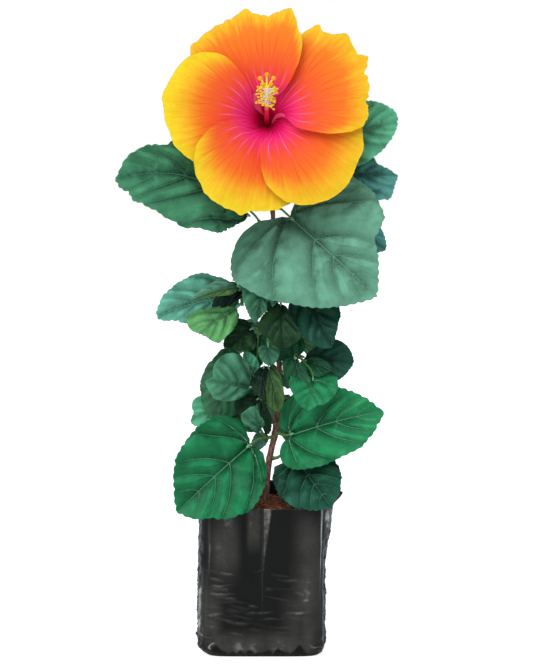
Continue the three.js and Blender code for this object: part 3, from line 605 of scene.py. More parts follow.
def add_plate(shape, top, under, ring, columns, finishes, marks=None):
    """Thin closed body between two grids of points. ring says that each row is closed round a hub,
    which is the first point."""
    count = len(top)
    if ring:
        rows = (count - 1) // columns
        faces = [fan_faces(0, 1 + np.arange(columns)), strip_faces(rows, columns)[:, ::-1] + 1]
        edge = np.arange(count - columns, count)
    else:
        grid = np.arange(count).reshape(-1, columns)
        faces = [strip_faces(len(grid), columns, closed=False)]
        edge = np.concatenate([grid[0, :-1], grid[:-1, -1], grid[-1, :0:-1], grid[:0:-1, 0]])[::-1]
    after = np.roll(edge, -1)
    wall = np.stack([edge, edge + count, after + count, after], 1)
    shape.add(np.vstack([top, under]),
              [*((f, finishes[0]) for f in faces), *((f[:, ::-1] + count, finishes[1]) for f in faces),
               (wall, finishes[0])],
              None if marks is None else np.vstack([marks, marks]))


# Finishes, with the sizes of their patterns in millimetres
WAX_TINT = "#B4ECD8"
LEAF_CLOUD = 13
VEIN_NET = 3.2
RIB_CLOUD = 4
POLLEN_DUST = 0.5
BARK_FLAKE = 1.6
FILM_WRINKLE = 16
FILM_DUST_AND_SHEEN = 9
COIR_CRUMB = 1.8
# Petal colours by the distance from the throat in units of 100 mm, between the veins and along them
GLOW_STOPS = [(0.06, "#B4003A"), (0.11, "#E00256"), (0.17, "#F81C78"), (0.23, "#FC366C"), (0.31, "#FC4636"),
              (0.42, "#FC5E22"), (0.54, "#FC721A"), (0.66, "#FC8018"), (0.82, "#FC9418")]
VEIN_STOPS = [(0.08, "#D00C50"), (0.16, "#FF6CAC"), (0.3, "#FF86B0"), (0.4, "#FC5C50"), (0.5, "#EE3412"),
              (0.8, "#F05A08")]
EDGE_GOLD = "#F8C034"
PETAL_BACK = "#FFD27A"
VEIN_LANES = 5.0
# Where the veins fork as (distance where a fork starts, distance where it is full, gap between its arms)
VEIN_FORKS = [(0.2, 0.62, 0.25), (0.42, 0.85, 0.12)]
PLUS, MINUS, TIMES = ({"operation": kind} for kind in ("ADD", "SUBTRACT", "MULTIPLY"))
WITHOUT_SIGN = {"operation": "ABSOLUTE"}
SMOOTH = {"interpolation_type": "SMOOTHSTEP"}
COLOURS = {"data_type": "RGBA"}


def hue(text):
    """An sRGB hex value as a linear colour."""
    values = [int(text[k:k + 2], 16) / 255 for k in (1, 3, 5)]
    return [v / 12.92 if v <= 0.04045 else ((v + 0.055) / 1.055) ** 2.4 for v in values] + [1.0]


def per_mm(size):
    """The scale of a pattern whose features are that many millimetres apart."""
    return 1 / (size * MM)


def add(tree, kind, settings=None, inputs=(), stops=()):
    """Adds one node. inputs are in the order of its sockets or by their names, and each is a value, a
    socket, or a node whose first output is taken. stops are a ramp's places and colours."""
    made = tree.nodes.new("ShaderNode" + kind)
    for key, value in (settings or {}).items():
        setattr(made, key, value)
    for key, value in inputs.items() if isinstance(inputs, dict) else enumerate(inputs):
        if isinstance(value, bpy.types.Node):
            value = value.outputs[0]
        if isinstance(value, bpy.types.NodeSocket):
            tree.links.new(value, made.inputs[key])
        else:
            made.inputs[key].default_value = value
    for k, (place, colour) in enumerate(stops):
        ramp = made.color_ramp.elements
        stop = ramp[k] if k < len(ramp) else ramp.new(place)
        stop.position = place
        stop.color = hue(colour)
    return made


def finish_of(name, **sockets):
    """A new material with its node tree and shader; sockets are constants of the shader."""
    made = bpy.data.materials.new(name)
    made.use_nodes = True
    tree = made.node_tree
    shader = tree.nodes["Principled BSDF"]
    for key, value in sockets.items():
        shader.inputs[key.replace("_", " ")].default_value = value
    return made, tree, shader


def link(tree, node, **sources):
    """Links sockets, or the first outputs of nodes, to the sockets of a node that they are named for."""
    for key, source in sources.items():
        source = source.outputs[0] if isinstance(source, bpy.types.Node) else source
        tree.links.new(source, node.inputs[key.replace("_", " ")])


def marks_of(tree, map_name):
    """The two numbers that a piece keeps in one of its UV maps."""
    place = add(tree, "UVMap", {"uv_map": map_name})
    return add(tree, "SeparateXYZ", {}, (place,)).outputs[:2]


def leaf_skin(name, shade, light, sheen):
    """Living leaf under a thin wax cuticle: satin gloss, a cloudy tone and a fine net of paler veins.
    Its colour also carries painted shade along the pressed-in ribs, and painted light and shade on the
    two sides of each pleat."""
    made, tree, shader = finish_of(name, Roughness=sheen, IOR=1.45, Specular_IOR_Level=0.38,
                                   Specular_Tint=hue(WAX_TINT))
    place = add(tree, "TexCoord").outputs["Object"]
    press, pleat = marks_of(tree, "Marks")
    cloud = add(tree, "TexNoise", {}, {"Vector": place, "Scale": per_mm(LEAF_CLOUD), "Detail": 5.0})
    net = add(tree, "TexVoronoi", {"feature": "DISTANCE_TO_EDGE"},
              {"Vector": place, "Scale": per_mm(VEIN_NET)})
    # Painted shade: darker along the pressed-in ribs, where the marks' press is high.
    even = add(tree, "Math", MINUS, (add(tree, "Math", TIMES, (cloud, 0.45)),
                                     add(tree, "Math", TIMES, (press, 0.34))))
    # Painted light and shade: each pleat is lighter on its side towards the tip and darker on the other, in
    # patches that follow the cloud.
    patch = add(tree, "MapRange", {}, (cloud, 0.38, 0.62, 0, 0.26))
    lit = add(tree, "Math", PLUS, (even, add(tree, "Math", TIMES, (pleat, patch))))
    base = add(tree, "ValToRGB", {}, (lit,), [(0.0, shade), (0.28, light)])
    veil = add(tree, "MapRange", {}, (net, 0, 0.16, 0.2, 0))
    tint = add(tree, "Mix", COLOURS, {"Factor": veil, 6: base, 7: hue(light)})
    bump = add(tree, "Bump", {}, {"Height": net, "Strength": 0.55, "Distance": 0.35 * MM})
    link(tree, shader, Base_Color=tint.outputs[2], Normal=bump)
    return made


def rib_green(name, colour):
    """Leaf ribs, stalks and other fibrous green or pink tissue, smooth and a little shiny."""
    made, tree, shader = finish_of(name, Roughness=0.5, IOR=1.45, Specular_IOR_Level=0.3)
    place = add(tree, "TexCoord").outputs["Object"]
    cloud = add(tree, "TexNoise", {}, {"Vector": place, "Scale": per_mm(RIB_CLOUD), "Detail": 2.0})
    value = add(tree, "MapRange", {}, {0: cloud, 3: 0.8, 4: 1.2})
    tint = add(tree, "HueSaturation", {}, {"Color": hue(colour), "Value": value})
    link(tree, shader, Base_Color=tint)
    return made


def petal_streaks(tree, across, reach, lanes, waves, detail):
    """Noise from -0.5 to 0.5 that is drawn out from the throat to the margin."""
    at = add(tree, "CombineXYZ", {}, (add(tree, "Math", TIMES, (across, lanes)),
                                      add(tree, "Math", TIMES, (reach, waves))))
    made = add(tree, "TexNoise", {}, {"Vector": at, "Scale": 1.0, "Detail": detail, "Roughness": 0.6})
    return add(tree, "Math", MINUS, (made, 0.5))


def petal_glow(tree, across, reach, share, spread, gold, rim_tint):
    """The petal's colour between its veins, which runs out to gold at the margin and the edges."""
    glow = add(tree, "ValToRGB", {}, (add(tree, "Math", PLUS, (reach, spread)),), GLOW_STOPS)
    rim_at = add(tree, "Math", PLUS, (share, add(tree, "Math", TIMES, (spread, 1.25))))
    rim = add(tree, "MapRange", SMOOTH, (rim_at, 1 - 2.6 * gold, 1 + 0.4 * gold))
    outer = add(tree, "MapRange", SMOOTH, (reach, 0.38, 0.66))
    warm = add(tree, "Mix", COLOURS, {"Factor": add(tree, "Math", TIMES, (rim, outer)), 6: glow,
                                      7: hue(rim_tint)})
    side = add(tree, "MapRange", {}, (add(tree, "Math", WITHOUT_SIGN, (across,)), 0.975, 0.998, 0, 0.55))
    edged = add(tree, "Mix", COLOURS, {"Factor": add(tree, "Math", TIMES, (side, outer)),
                                       6: warm.outputs[2], 7: hue(EDGE_GOLD)})
    return edged.outputs[2]


def petal_veins(tree, across, reach, share, bend, seed):
    """How strongly the veins show. Each runs out from the claw and forks twice, and some are much
    stronger than their neighbours."""
    lane = add(tree, "Math", PLUS, (add(tree, "Math", TIMES, (across, VEIN_LANES)),
                                    add(tree, "Math", TIMES, (bend, 0.3))))
    shifted = add(tree, "Math", PLUS, (lane, 0.5))
    past = add(tree, "Math", MINUS, (add(tree, "Math", {"operation": "FRACT"}, (shifted,)), 0.5))
    off = add(tree, "Math", WITHOUT_SIGN, (past,))
    for start, full, gap in VEIN_FORKS:
        fork = add(tree, "MapRange", SMOOTH, (reach, start, full, 0, gap))
        off = add(tree, "Math", WITHOUT_SIGN, (add(tree, "Math", MINUS, (off, fork)),))
    width = add(tree, "MapRange", {}, (reach, 0.1, 0.7, 0.085, 0.03))
    line = add(tree, "MapRange", SMOOTH, (off, width, 0, 0, 1))
    own = add(tree, "TexWhiteNoise", {"noise_dimensions": "1D"}, {"W": add(
        tree, "Math", PLUS, (add(tree, "Math", {"operation": "FLOOR"}, (shifted,)), seed))})
    strength = add(tree, "MapRange", {}, {0: own, 3: 0.45, 4: 1.2})
    fading = add(tree, "MapRange", {}, (share, 0.25, 0.97, 0.8, 0.12))
    return add(tree, "Math", TIMES, (add(tree, "Math", TIMES, (line, fading)), strength))


def petal_skin(name, gold, rim_tint, pale, seed):
    """Living petal: soft matt tissue with a streaky fibrous grain, pink at the claw and gold at the
    margin. Its streaks are drawn coarser than the tissue's own fibres, so that they show."""
    made, tree, shader = finish_of(name, Roughness=0.6, IOR=1.4, Specular_IOR_Level=0.25)
    # across runs from -1 to 1 between the petal's edges, reach is the distance from the throat in
    # units of 100 mm, and share is the part of the way to the margin.
    across, reach = marks_of(tree, "Span")
    share = marks_of(tree, "Margin")[0]
    grain = petal_streaks(tree, across, reach, 22.0, 4.5, 5.0)
    thread = petal_streaks(tree, across, reach, 75.0, 8.0, 3.0)
    bend = petal_streaks(tree, across, reach, 2.5, 6.0, 1.0)
    spread = add(tree, "Math", PLUS, (add(tree, "Math", TIMES, (grain, 0.2)),
                                      add(tree, "Math", TIMES, (thread, 0.16))))
    veined = add(tree, "Mix", COLOURS, {
        "Factor": petal_veins(tree, across, reach, share, bend, seed),
        6: petal_glow(tree, across, reach, share, spread, gold, rim_tint),
        7: add(tree, "ValToRGB", {}, (reach,), VEIN_STOPS)})
    last = add(tree, "Mix", COLOURS, {"Factor": pale, 6: veined.outputs[2], 7: hue(PETAL_BACK)})
    fibres = add(tree, "Math", PLUS, (grain, thread))
    bump = add(tree, "Bump", {}, {"Height": fibres, "Strength": 0.5, "Distance": 0.4 * MM})
    link(tree, shader, Base_Color=last.outputs[2], Normal=bump)
    return made


def column_skin():
    """Fleshy column: crimson at its foot, paling to cream where the anthers are, softly shiny."""
    made, tree, shader = finish_of("column_skin", Roughness=0.45, IOR=1.4)
    base = add(tree, "ValToRGB", {}, (marks_of(tree, "Marks")[0],), [
        (0.2, "#C80038"), (0.5, "#F2305A"), (0.6, "#FFA06A"), (0.7, "#FFF0D0")])
    link(tree, shader, Base_Color=base)
    return made


def pollen_gold(name, colour, rough):
    """Pollen grains, stigma pads and filaments: matt, dusty tissue. The dust is drawn coarser than
    real pollen, so that it shows."""
    made, tree, shader = finish_of(name, Roughness=rough, IOR=1.4)
    place = add(tree, "TexCoord").outputs["Object"]
    dust = add(tree, "TexNoise", {}, {"Vector": place, "Scale": per_mm(POLLEN_DUST), "Detail": 2.0})
    value = add(tree, "MapRange", {}, {0: dust, 3: 0.75, 4: 1.25})
    tint = add(tree, "HueSaturation", {}, {"Color": hue(colour), "Value": value})
    bump = add(tree, "Bump", {}, {"Height": dust, "Strength": 0.4, "Distance": 0.2 * MM})
    link(tree, shader, Base_Color=tint, Normal=bump)
    return made


def young_bark():
    """Young hibiscus bark: thin red-brown skin with grey flakes, dull."""
    made, tree, shader = finish_of("young_bark", Roughness=0.78, IOR=1.45)
    place = add(tree, "TexCoord").outputs["Object"]
    upright = add(tree, "Mapping", {}, {"Vector": place, "Scale": (1.0, 1.0, 0.25)})
    flakes = add(tree, "TexNoise", {}, {"Vector": upright, "Scale": per_mm(BARK_FLAKE), "Detail": 5.0,
                                        "Roughness": 0.7})
    base = add(tree, "ValToRGB", {}, (flakes,), [(0.3, "#40281F"), (0.5, "#7A4D3C"), (0.68, "#A98A78")])
    bump = add(tree, "Bump", {}, {"Height": flakes, "Strength": 0.7, "Distance": 0.4 * MM})
    link(tree, shader, Base_Color=base, Normal=bump)
    return made


def blown_film():
    """Blown black polythene film: slick, with fine stretch wrinkles and dusty blotches that vary its
    roughness. Its black is lightened by painted sheens, and by painted highlights on folds, rucks and
    crumples."""
    made, tree, shader = finish_of("blown_film", IOR=1.5, Specular_IOR_Level=0.22)
    place = add(tree, "TexCoord").outputs["Object"]
    upright = add(tree, "Mapping", {}, {"Vector": place, "Scale": (1.0, 1.0, 0.35)})
    wrinkle = add(tree, "TexNoise", {"noise_type": "RIDGED_MULTIFRACTAL"},
                  {"Vector": upright, "Scale": per_mm(FILM_WRINKLE), "Detail": 4.0, "Roughness": 0.5})
    # Dusty blotches: they vary the roughness and make the painted sheen patchy.
    dust = add(tree, "TexNoise", {}, {"Vector": place, "Scale": per_mm(FILM_DUST_AND_SHEEN), "Detail": 5.0,
                                      "Roughness": 0.7})
    patchy = add(tree, "MapRange", {}, (dust, 0.3, 0.7, 0.75, 1.2))
    # Painted sheen and highlights from the marks: black film at 0, a painted grey sheen at the middle, a
    # painted white highlight at 1.
    painted_sheen = add(tree, "Math", TIMES, (marks_of(tree, "Marks")[0], patchy))
    base = add(tree, "ValToRGB", {}, (painted_sheen,), [(0.0, "#0B0A06"), (0.45, "#403E38"), (1.0, "#D5D5CE")])
    rough = add(tree, "MapRange", {}, (dust, 0.3, 0.75, 0.2, 0.38))
    bump = add(tree, "Bump", {}, {"Height": wrinkle, "Strength": 0.12, "Distance": 0.6 * MM})
    link(tree, shader, Base_Color=base, Roughness=rough, Normal=bump)
    return made


def damp_coir(name, shade, light):
    """Damp coir and compost crumbs: rough, dark where wet and ginger where dry."""
    made, tree, shader = finish_of(name, Roughness=0.92, IOR=1.4)
    place = add(tree, "TexCoord").outputs["Object"]
    crumbs = add(tree, "TexNoise", {}, {"Vector": place, "Scale": per_mm(COIR_CRUMB), "Detail": 6.0,
                                        "Roughness": 0.75})
    base = add(tree, "ValToRGB", {}, (crumbs,), [(0.35, shade), (0.68, light)])
    bump = add(tree, "Bump", {}, {"Height": crumbs, "Strength": 0.9, "Distance": 0.6 * MM})
    link(tree, shader, Base_Color=base, Normal=bump)
    return made


TONES = {tone: leaf_skin(f"leaf_{tone}_green", *values[:3]) for tone, values in LEAF_TONES.items()}
UNDERSIDE = leaf_skin("leaf_underside", "#3C7446", "#6A9C66", 0.6)
RIBS = {tone: rib_green(f"leaf_rib_{tone}", colour) for tone, colour in RIB_TONES.items()}
STALK_GREEN = rib_green("stalk_green", "#5C8A48")
JOINT_RED = rib_green("stalk_joint", "#9C6038")


# Stem
STEM_CURVE = smooth_path(STEM_PATH, 60)
NODE_HEIGHTS = np.array([mass["node"] for mass in MASSES.values()])


def stem_radius(height):
    """The radius at a height: the taper, the flared foot and the swelling at each node."""
    height = np.asarray(height, float)
    share = (height - STEM_FOOT) / (STEM_PATH[-1][2] - STEM_FOOT)
    flare = (FOOT_RADIUS - STEM_RADIUS) * np.exp(-(height - STEM_FOOT) / FLARE_HEIGHT)
    nearest = np.abs(height[..., None] - NODE_HEIGHTS).min(-1)
    swell = NODE_SWELL * np.exp(-(nearest / NODE_LENGTH) ** 2)
    return lerp(STEM_RADIUS, TIP_RADIUS, share) + flare + swell


def stem_middle(height):
    """The point of the stem's middle line at a height."""
    return np.array([np.interp(height, STEM_CURVE[:, 2], STEM_CURVE[:, k]) for k in (0, 1)] + [height])


def make_stem():
    """The stem with fissured bark, a swollen ring and a scar at each node."""
    heights = np.linspace(STEM_FOOT - GAP, STEM_PATH[-1][2] + GAP, BARK_ROWS)
    path = np.array([stem_middle(h) for h in heights])
    turn = TURN * np.arange(BARK_SIDES) / BARK_SIDES
    around = np.stack([np.cos(turn) * 3, np.sin(turn) * 3, np.zeros(BARK_SIDES)], 1)
    place = around[None] + np.stack([np.zeros_like(heights)] * 2 + [heights * 0.3], 1)[:, None]
    fissures = wander(place, 1.1, 1) * 0.16 + wander(place, 0.5, 2) * 0.07
    warts = np.clip(wander(place * (1, 1, 3), 0.9, 3) - 0.35, 0, 1) * 0.5
    scars = np.zeros((len(heights), BARK_SIDES))
    for k, node in enumerate(NODE_HEIGHTS):
        side = np.clip(np.cos(turn - TURN * GOLDEN * k), 0, 1)
        scars += SCAR_RISE * hump(heights - node, 0.9)[:, None] * side ** 2
        scars -= SCAR_DENT * hump(heights - node - 2, 0.5)[:, None] * side
    shape = Shape()
    radius = stem_radius(heights)[:, None] + fissures + warts + scars
    add_tube(shape, path, radius, BARK_SIDES)
    piece("stem_bark", shape, [young_bark()], ["stem"])


# Leaves
def blade_outline(leaf, turn):
    """The blade's plain outline, at angles round it from its tip. It lies flat along +X from its base."""
    back = (1 - np.cos(turn)) / 2
    side = np.sin(turn)
    widest = (1 + 2 * leaf["point"]) / (2 + 2 * leaf["point"])
    most = 2 * math.sqrt(widest * (1 - widest)) * widest ** leaf["point"]
    y = side * back ** leaf["point"] / most * leaf["width"] / 2
    x = leaf["length"] * (1 - back - leaf["lobe"] * np.abs(side) * back * back)
    return np.stack([x - leaf["skew"] * y * back, y], -1)


def blade_heart(leaf):
    """The flat point that a blade's rings and ribs are drawn round."""
    return np.array([BLADE_HEART * leaf["length"], 0])


def blade_rim(leaf, turn):
    """The outline with the leaf's own corners and dents, which the solid leaves out. dents holds them
    as (degrees round the blade from its tip, reach from the heart as a percent of the outline's)."""
    heart = blade_heart(leaf)
    degrees, percents = np.array(leaf["dents"]).T
    reach = np.interp(np.degrees(turn), degrees, percents, period=360)
    return heart + (blade_outline(leaf, turn) - heart) * reach[..., None] / 100


def blade_surface(leaf, flat, soft=0.0):
    """Places of flat blade points in space. soft rounds the fold along the midrib."""
    x, y = flat[..., 0], flat[..., 1]
    tilt = math.radians(leaf["fold"])
    along = x / leaf["length"]
    off = np.sqrt(y * y + soft * soft) - soft
    edge = np.minimum(np.abs(y) / (leaf["width"] / 2), 1)
    ridge = leaf["arch"] * leaf["length"] * 4 * along * (1 - along)
    turn = TURN * leaf["waves"] * along + leaf["phase"] + np.where(y > 0, SIDE_SHIFT, 0)
    wave = leaf["wave"] * leaf["width"] / 2 * edge * edge * np.sin(turn)
    bowed = 4 * leaf["bow"] * x * (1 - along)
    local = np.stack([x, y * math.cos(tilt) + bowed, ridge + off * math.sin(tilt) + wave], -1)
    return local @ leaf["turned"] + leaf["base"]


def dress_leaf(spec, draw):
    """A leaf with all the values that its shape needs, from the few that are given."""
    leaf = {**BLADE, **spec}
    base, tip = np.array(leaf["base"], float), np.array(leaf["tip"], float)
    along = tip - base
    length = np.linalg.norm(along)
    along = along / length
    face = np.array(leaf["face"], float)
    face = unit(face - along * np.dot(face, along))
    across = np.cross(face, along)
    leaf.update(base=base, tip=tip, length=length, along=along, turned=np.array([along, across, face]),
                phase=TURN * draw())
    return leaf


def rule_rim(leaf):
    """The few points of the outline that the source's rule tests."""
    steps = RULE_STEPS[0 if leaf["width"] < LARGE_BLADE else 1]
    return blade_outline(leaf, TURN * np.arange(steps) / steps)


def grown_leaves(mass, draw):
    """The source's seeded rule for the leaves behind the stem."""
    grown = mass["grown"]
    low, high = np.array(grown["low"]), np.array(grown["high"])
    kept = []
    for k in range(TRIES):
        if len(kept) == grown["count"]:
            break
        bearing = math.radians(lerp(*FAN, (k * GOLDEN + 0.5) % 1))
        dip = math.radians(lerp(*grown["pitch"], draw()))
        reach = lerp(*STALK_REACH, draw())
        size = lerp(*grown["length"], draw())
        out = np.array([math.cos(bearing), math.sin(bearing), 0])
        base = np.array(mass["end"]) + out * reach
        base[2] += reach * lerp(*STALK_SLOPE, draw())
        along = out * math.cos(dip) - np.array([0, 0, math.sin(dip)])
        face = out * math.sin(dip) + np.array([0, 0, math.cos(dip)])
        leaf = dress_leaf(dict(base=base, tip=base + along * size, width=BLADE_WIDTH * size, face=face,
                               tone=GROWN_TONES[k % len(GROWN_TONES)]), draw)
        rim = blade_surface(leaf, rule_rim(leaf))
        heart = (base + leaf["tip"]) / 2
        crowded = any(np.linalg.norm(other["heart"] - heart) < SPACING * size for other in kept)
        if (rim >= low).all() and (rim <= high).all() and not crowded:
            kept.append({**leaf, "heart": heart})
    return kept


def on_blade(leaf, path):
    """A vein's points, drawn in where they would leave the blade."""
    heart = blade_heart(leaf)
    rim = blade_rim(leaf, TURN * np.arange(RIM_STEPS) / RIM_STEPS) - heart
    bearing = np.arctan2(rim[:, 1], rim[:, 0])
    order = bearing.argsort()
    off = path - heart
    limit = np.interp(np.arctan2(off[:, 1], off[:, 0]), bearing[order],
                      np.linalg.norm(rim, axis=1)[order], period=TURN)
    share = np.minimum(1, RIB_LIMIT * limit / np.maximum(np.linalg.norm(off, axis=1), HEART_ROOM))
    return heart + off * share[:, None]


def leaf_ribs(leaf):
    """The blade's veins as flat paths, each with how strong it is."""
    length = leaf["length"]
    steps = int(np.clip(length / 1.6, 16, 60))
    midrib = np.stack([np.linspace(0, 0.96 * length, 2 * steps), np.zeros(2 * steps)], -1)
    ribs = [(midrib, 1.0)]

    def reach_out(start, degrees, bow, force):
        for side in (-1, 1):
            goal = blade_rim(leaf, math.radians(side * degrees)) * 0.95
            root = np.array([start[0], side * start[1]])
            if goal[1] * side < 2:
                continue
            swing = np.array([-(goal - root)[1], (goal - root)[0]]) * bow * side
            path = bezier([root, (root + goal) / 2 + swing, goal], steps)
            ribs.append((on_blade(leaf, path), force))

    for degrees, bow, force in BASE_RIBS:
        reach_out((0, 0), degrees, bow, force)
    for share, degrees, force in SIDE_RIBS:
        reach_out((share * length, 0), degrees, SIDE_RIB_BOW, force)
    for main, share, degrees in FORKED_RIBS:
        root = ribs[main][0][int((steps - 1) * share)]
        reach_out((root[0], abs(root[1])), degrees, FORK_BOW, FORK_FORCE)
    return ribs


def rib_press(flat, ribs, size):
    """How deep each flat point is pressed in by the ribs near it, from 0 to 1, with a crease at each
    rib and a pillow between them, and how far it stands up as a pleat on the rib's side towards the
    tip or down on its other side. It works through the points in batches to spare memory."""
    spots = np.vstack([path for path, _ in ribs])
    force = np.concatenate([np.linspace(power, 0.45 * power, len(path)) for path, power in ribs])
    heading = np.vstack([unit(np.gradient(path, axis=0)) for path, _ in ribs])
    heading = heading * -np.sign(spots[:, 1:])
    press, pleat = np.zeros(len(flat)), np.zeros(len(flat))
    for first in range(0, len(flat), BATCH):
        batch = slice(first, first + BATCH)
        gap = flat[batch, None] - spots[None]
        away = np.sqrt((gap ** 2).sum(-1) + CREASE ** 2) - CREASE
        pull = force[None] * np.exp(-away / size)
        near = pull.argmax(1)
        row = np.arange(len(near))
        off = gap[row, near]
        past = heading[near, 0] * off[:, 1] - heading[near, 1] * off[:, 0]
        press[batch] = pull[row, near]
        pleat[batch] = np.tanh(past / CREASE) * force[near] * np.exp(-away[row, near] / size / 1.7)
    return press, pleat


def blade_rings(leaf, number, fine):
    """Flat points of a blade in rings round its heart, out to a toothed margin, with how far each one
    stands up in the margin's frill, and the number of points in a ring."""
    length = leaf["length"]
    columns = int(np.clip(RIM_FINENESS * length * fine, 60, 280))
    rows = int(np.clip(length / RING_STEP * fine, 9, 60))
    turn = TURN * np.arange(columns) / columns
    rim = blade_rim(leaf, turn)
    step = np.roll(rim, -1, 0) - np.roll(rim, 1, 0)
    outward = unit(np.stack([step[:, 1], -step[:, 0]], -1))
    way = np.concatenate([[0], np.cumsum(np.linalg.norm(np.diff(rim, axis=0), axis=1))])
    from_tip = np.minimum(way, way[-1] + way[1] - way)
    pitch = float(np.clip(0.075 * length, 3.0, 6.5))
    near_base = smoothstep((1 - np.cos(turn)) / 2, 0.72, 0.95)
    size = TOOTH_SIZE * pitch * (1 - near_base) * (0.75 + 0.25 * np.sin(from_tip * 0.37 + number))
    tooth = size * (np.abs(np.sin(np.pi * from_tip / pitch + number)) - 0.6)
    heart = blade_heart(leaf)
    shares = (np.arange(1, rows + 1) / rows) ** 0.85
    flat = (heart + shares[:, None, None] * (rim - heart)
            + (shares ** 9)[:, None, None] * (outward * tooth[:, None])).reshape(-1, 2)
    wave = np.sin(TURN * from_tip / (2.6 * pitch) + number)
    frill = leaf["frill"] * length * (shares ** 4)[:, None] * wave
    return np.vstack([heart[None], flat]), np.append(0, frill), columns


def puckers(leaf, place, number):
    """Low swells and small puckers of a blade, as heights."""
    length = leaf["length"]
    return wander(place, 0.11 * length, number) * 0.008 * length + wander(place, 5, number) * 0.16


def blade_facing(leaf, flat):
    """The way that the blade's upper side faces at flat points."""
    x, y = np.array([NUDGE, 0]), np.array([0, NUDGE])
    along = blade_surface(leaf, flat + x, FOLD_SOFT) - blade_surface(leaf, flat - x, FOLD_SOFT)
    across = blade_surface(leaf, flat + y, FOLD_SOFT) - blade_surface(leaf, flat - y, FOLD_SOFT)
    return unit(np.cross(along, across))


def quilt_depth(leaf):
    """How deep a blade's ribs lie below the pillows between them."""
    return float(np.clip(0.042 * leaf["length"], 0.9, 3.8)) * leaf["quilt"]


def rib_relief(leaf, flat, ribs):
    """How high flat points stand because of the ribs, with their press and pleat."""
    press, pleat = rib_press(flat, ribs, float(np.clip(0.05 * leaf["length"], 1.8, 5.0)))
    return quilt_depth(leaf) * (PLEAT * pleat - press), press, pleat


def add_rib(shape, leaf, ribs, path, power, number):
    """One rib as a thin four-sided limb that stands a little proud of the blade's groove."""
    width = np.linspace(1, 0.3, len(path)) * power * float(np.clip(0.012 * leaf["length"], 0.45, 1.2))
    heading = unit(np.gradient(path, axis=0))
    aside = np.stack([-heading[:, 1], heading[:, 0]], -1) * width[:, None] / 2
    up = blade_facing(leaf, path)
    place = blade_surface(leaf, path, FOLD_SOFT)
    low = (puckers(leaf, place, number) + rib_relief(leaf, path, ribs)[0])[:, None] * up
    rise = (BLADE_THICKNESS / 2 + 0.12 * quilt_depth(leaf) + 0.2 * width[:, None]) * up
    rings = np.stack([blade_surface(leaf, path + aside, FOLD_SOFT) + low, place + low + rise,
                      blade_surface(leaf, path - aside, FOLD_SOFT) + low, place + low - 1.6 * rise], 1)
    finish = len(TONES) + 1 + list(RIBS).index(LEAF_TONES[leaf["tone"]][3])
    add_rings(shape, rings, (place + low)[[0, -1]], finish)


def add_blade(shape, leaf, number, fine):
    """One leaf blade, quilted between its ribs and toothed along its margin, with its ribs."""
    flat, frill, columns = blade_rings(leaf, number, fine)
    ribs = leaf_ribs(leaf)
    middle = blade_surface(leaf, flat, FOLD_SOFT)
    facing = blade_facing(leaf, flat)
    relief, press, pleat = rib_relief(leaf, flat, ribs)
    lift = (puckers(leaf, middle, number) + frill + relief)[:, None] * facing
    half = facing * BLADE_THICKNESS / 2
    tones = [list(TONES).index(tone) for tone in (leaf["tone"], leaf["other"] or leaf["tone"])]
    # The press and pleat are also kept as marks, from which the leaf's colour paints shade along the ribs
    # and light and shade on the pleats.
    add_plate(shape, middle + lift + half, middle + lift - half, True, columns,
              (np.repeat(tones, [columns // 2, columns - columns // 2]), len(TONES)),
              np.stack([press, pleat], -1))
    faintest = FAINT_RIB_SMALL if leaf["length"] < SMALL_BLADE else FAINT_RIB
    for path, power in ribs:
        if power >= faintest:
            add_rib(shape, leaf, ribs, path, power, number)


def add_stalk(shape, leaf, start):
    """Leaf stalk from inside its twig to a little way along the midrib, thickest at its two joints."""
    reach = np.linalg.norm(leaf["base"] - start)
    seat = blade_surface(leaf, np.array([STALK_SEAT * leaf["length"], 0]), FOLD_SOFT)
    bend = leaf["base"] - leaf["along"] * STALK_BEND * reach
    lift = lerp(start, leaf["base"], 0.4) + np.array([0, 0, STALK_RISE * reach])
    path = bezier([start, lift, bend, seat], STALK_STEPS)
    share = np.linspace(0, 1, STALK_STEPS)
    slim = 0.75 if leaf["length"] < SMALL_BLADE else 1.0
    radius = slim * (0.8 * STALK_RADIUS + 0.45 * hump(share - 0.94, 0.07) + 0.4 * hump(share, 0.08))
    add_tube(shape, path[:3], radius[:3], STALK_SIDES, 1)
    add_tube(shape, path[2:-2], radius[2:-2], STALK_SIDES, 0)
    add_tube(shape, path[-3:], radius[-3:] * np.linspace(1, 0.6, 3), STALK_SIDES, 2)


def twig_curve(mass, steps=24):
    """A twig's middle line from just outside the stem, and the way that it leaves the stem."""
    heart = stem_middle(mass["node"])
    end = np.array(mass["end"], float)
    out = unit(np.array([end[0] - heart[0], end[1] - heart[1], 0]))
    start = heart + out * (stem_radius(mass["node"]) + GAP)
    bend = start + out * TWIG_BEND * np.linalg.norm(end - start)
    return bezier([start, bend, end], steps), out


def point_along(path, share):
    """The point that lies that share of the way along a path."""
    way = np.concatenate([[0], np.cumsum(np.linalg.norm(np.diff(path, axis=0), axis=1))])
    return np.array([np.interp(share * way[-1], way, path[:, k]) for k in range(3)])


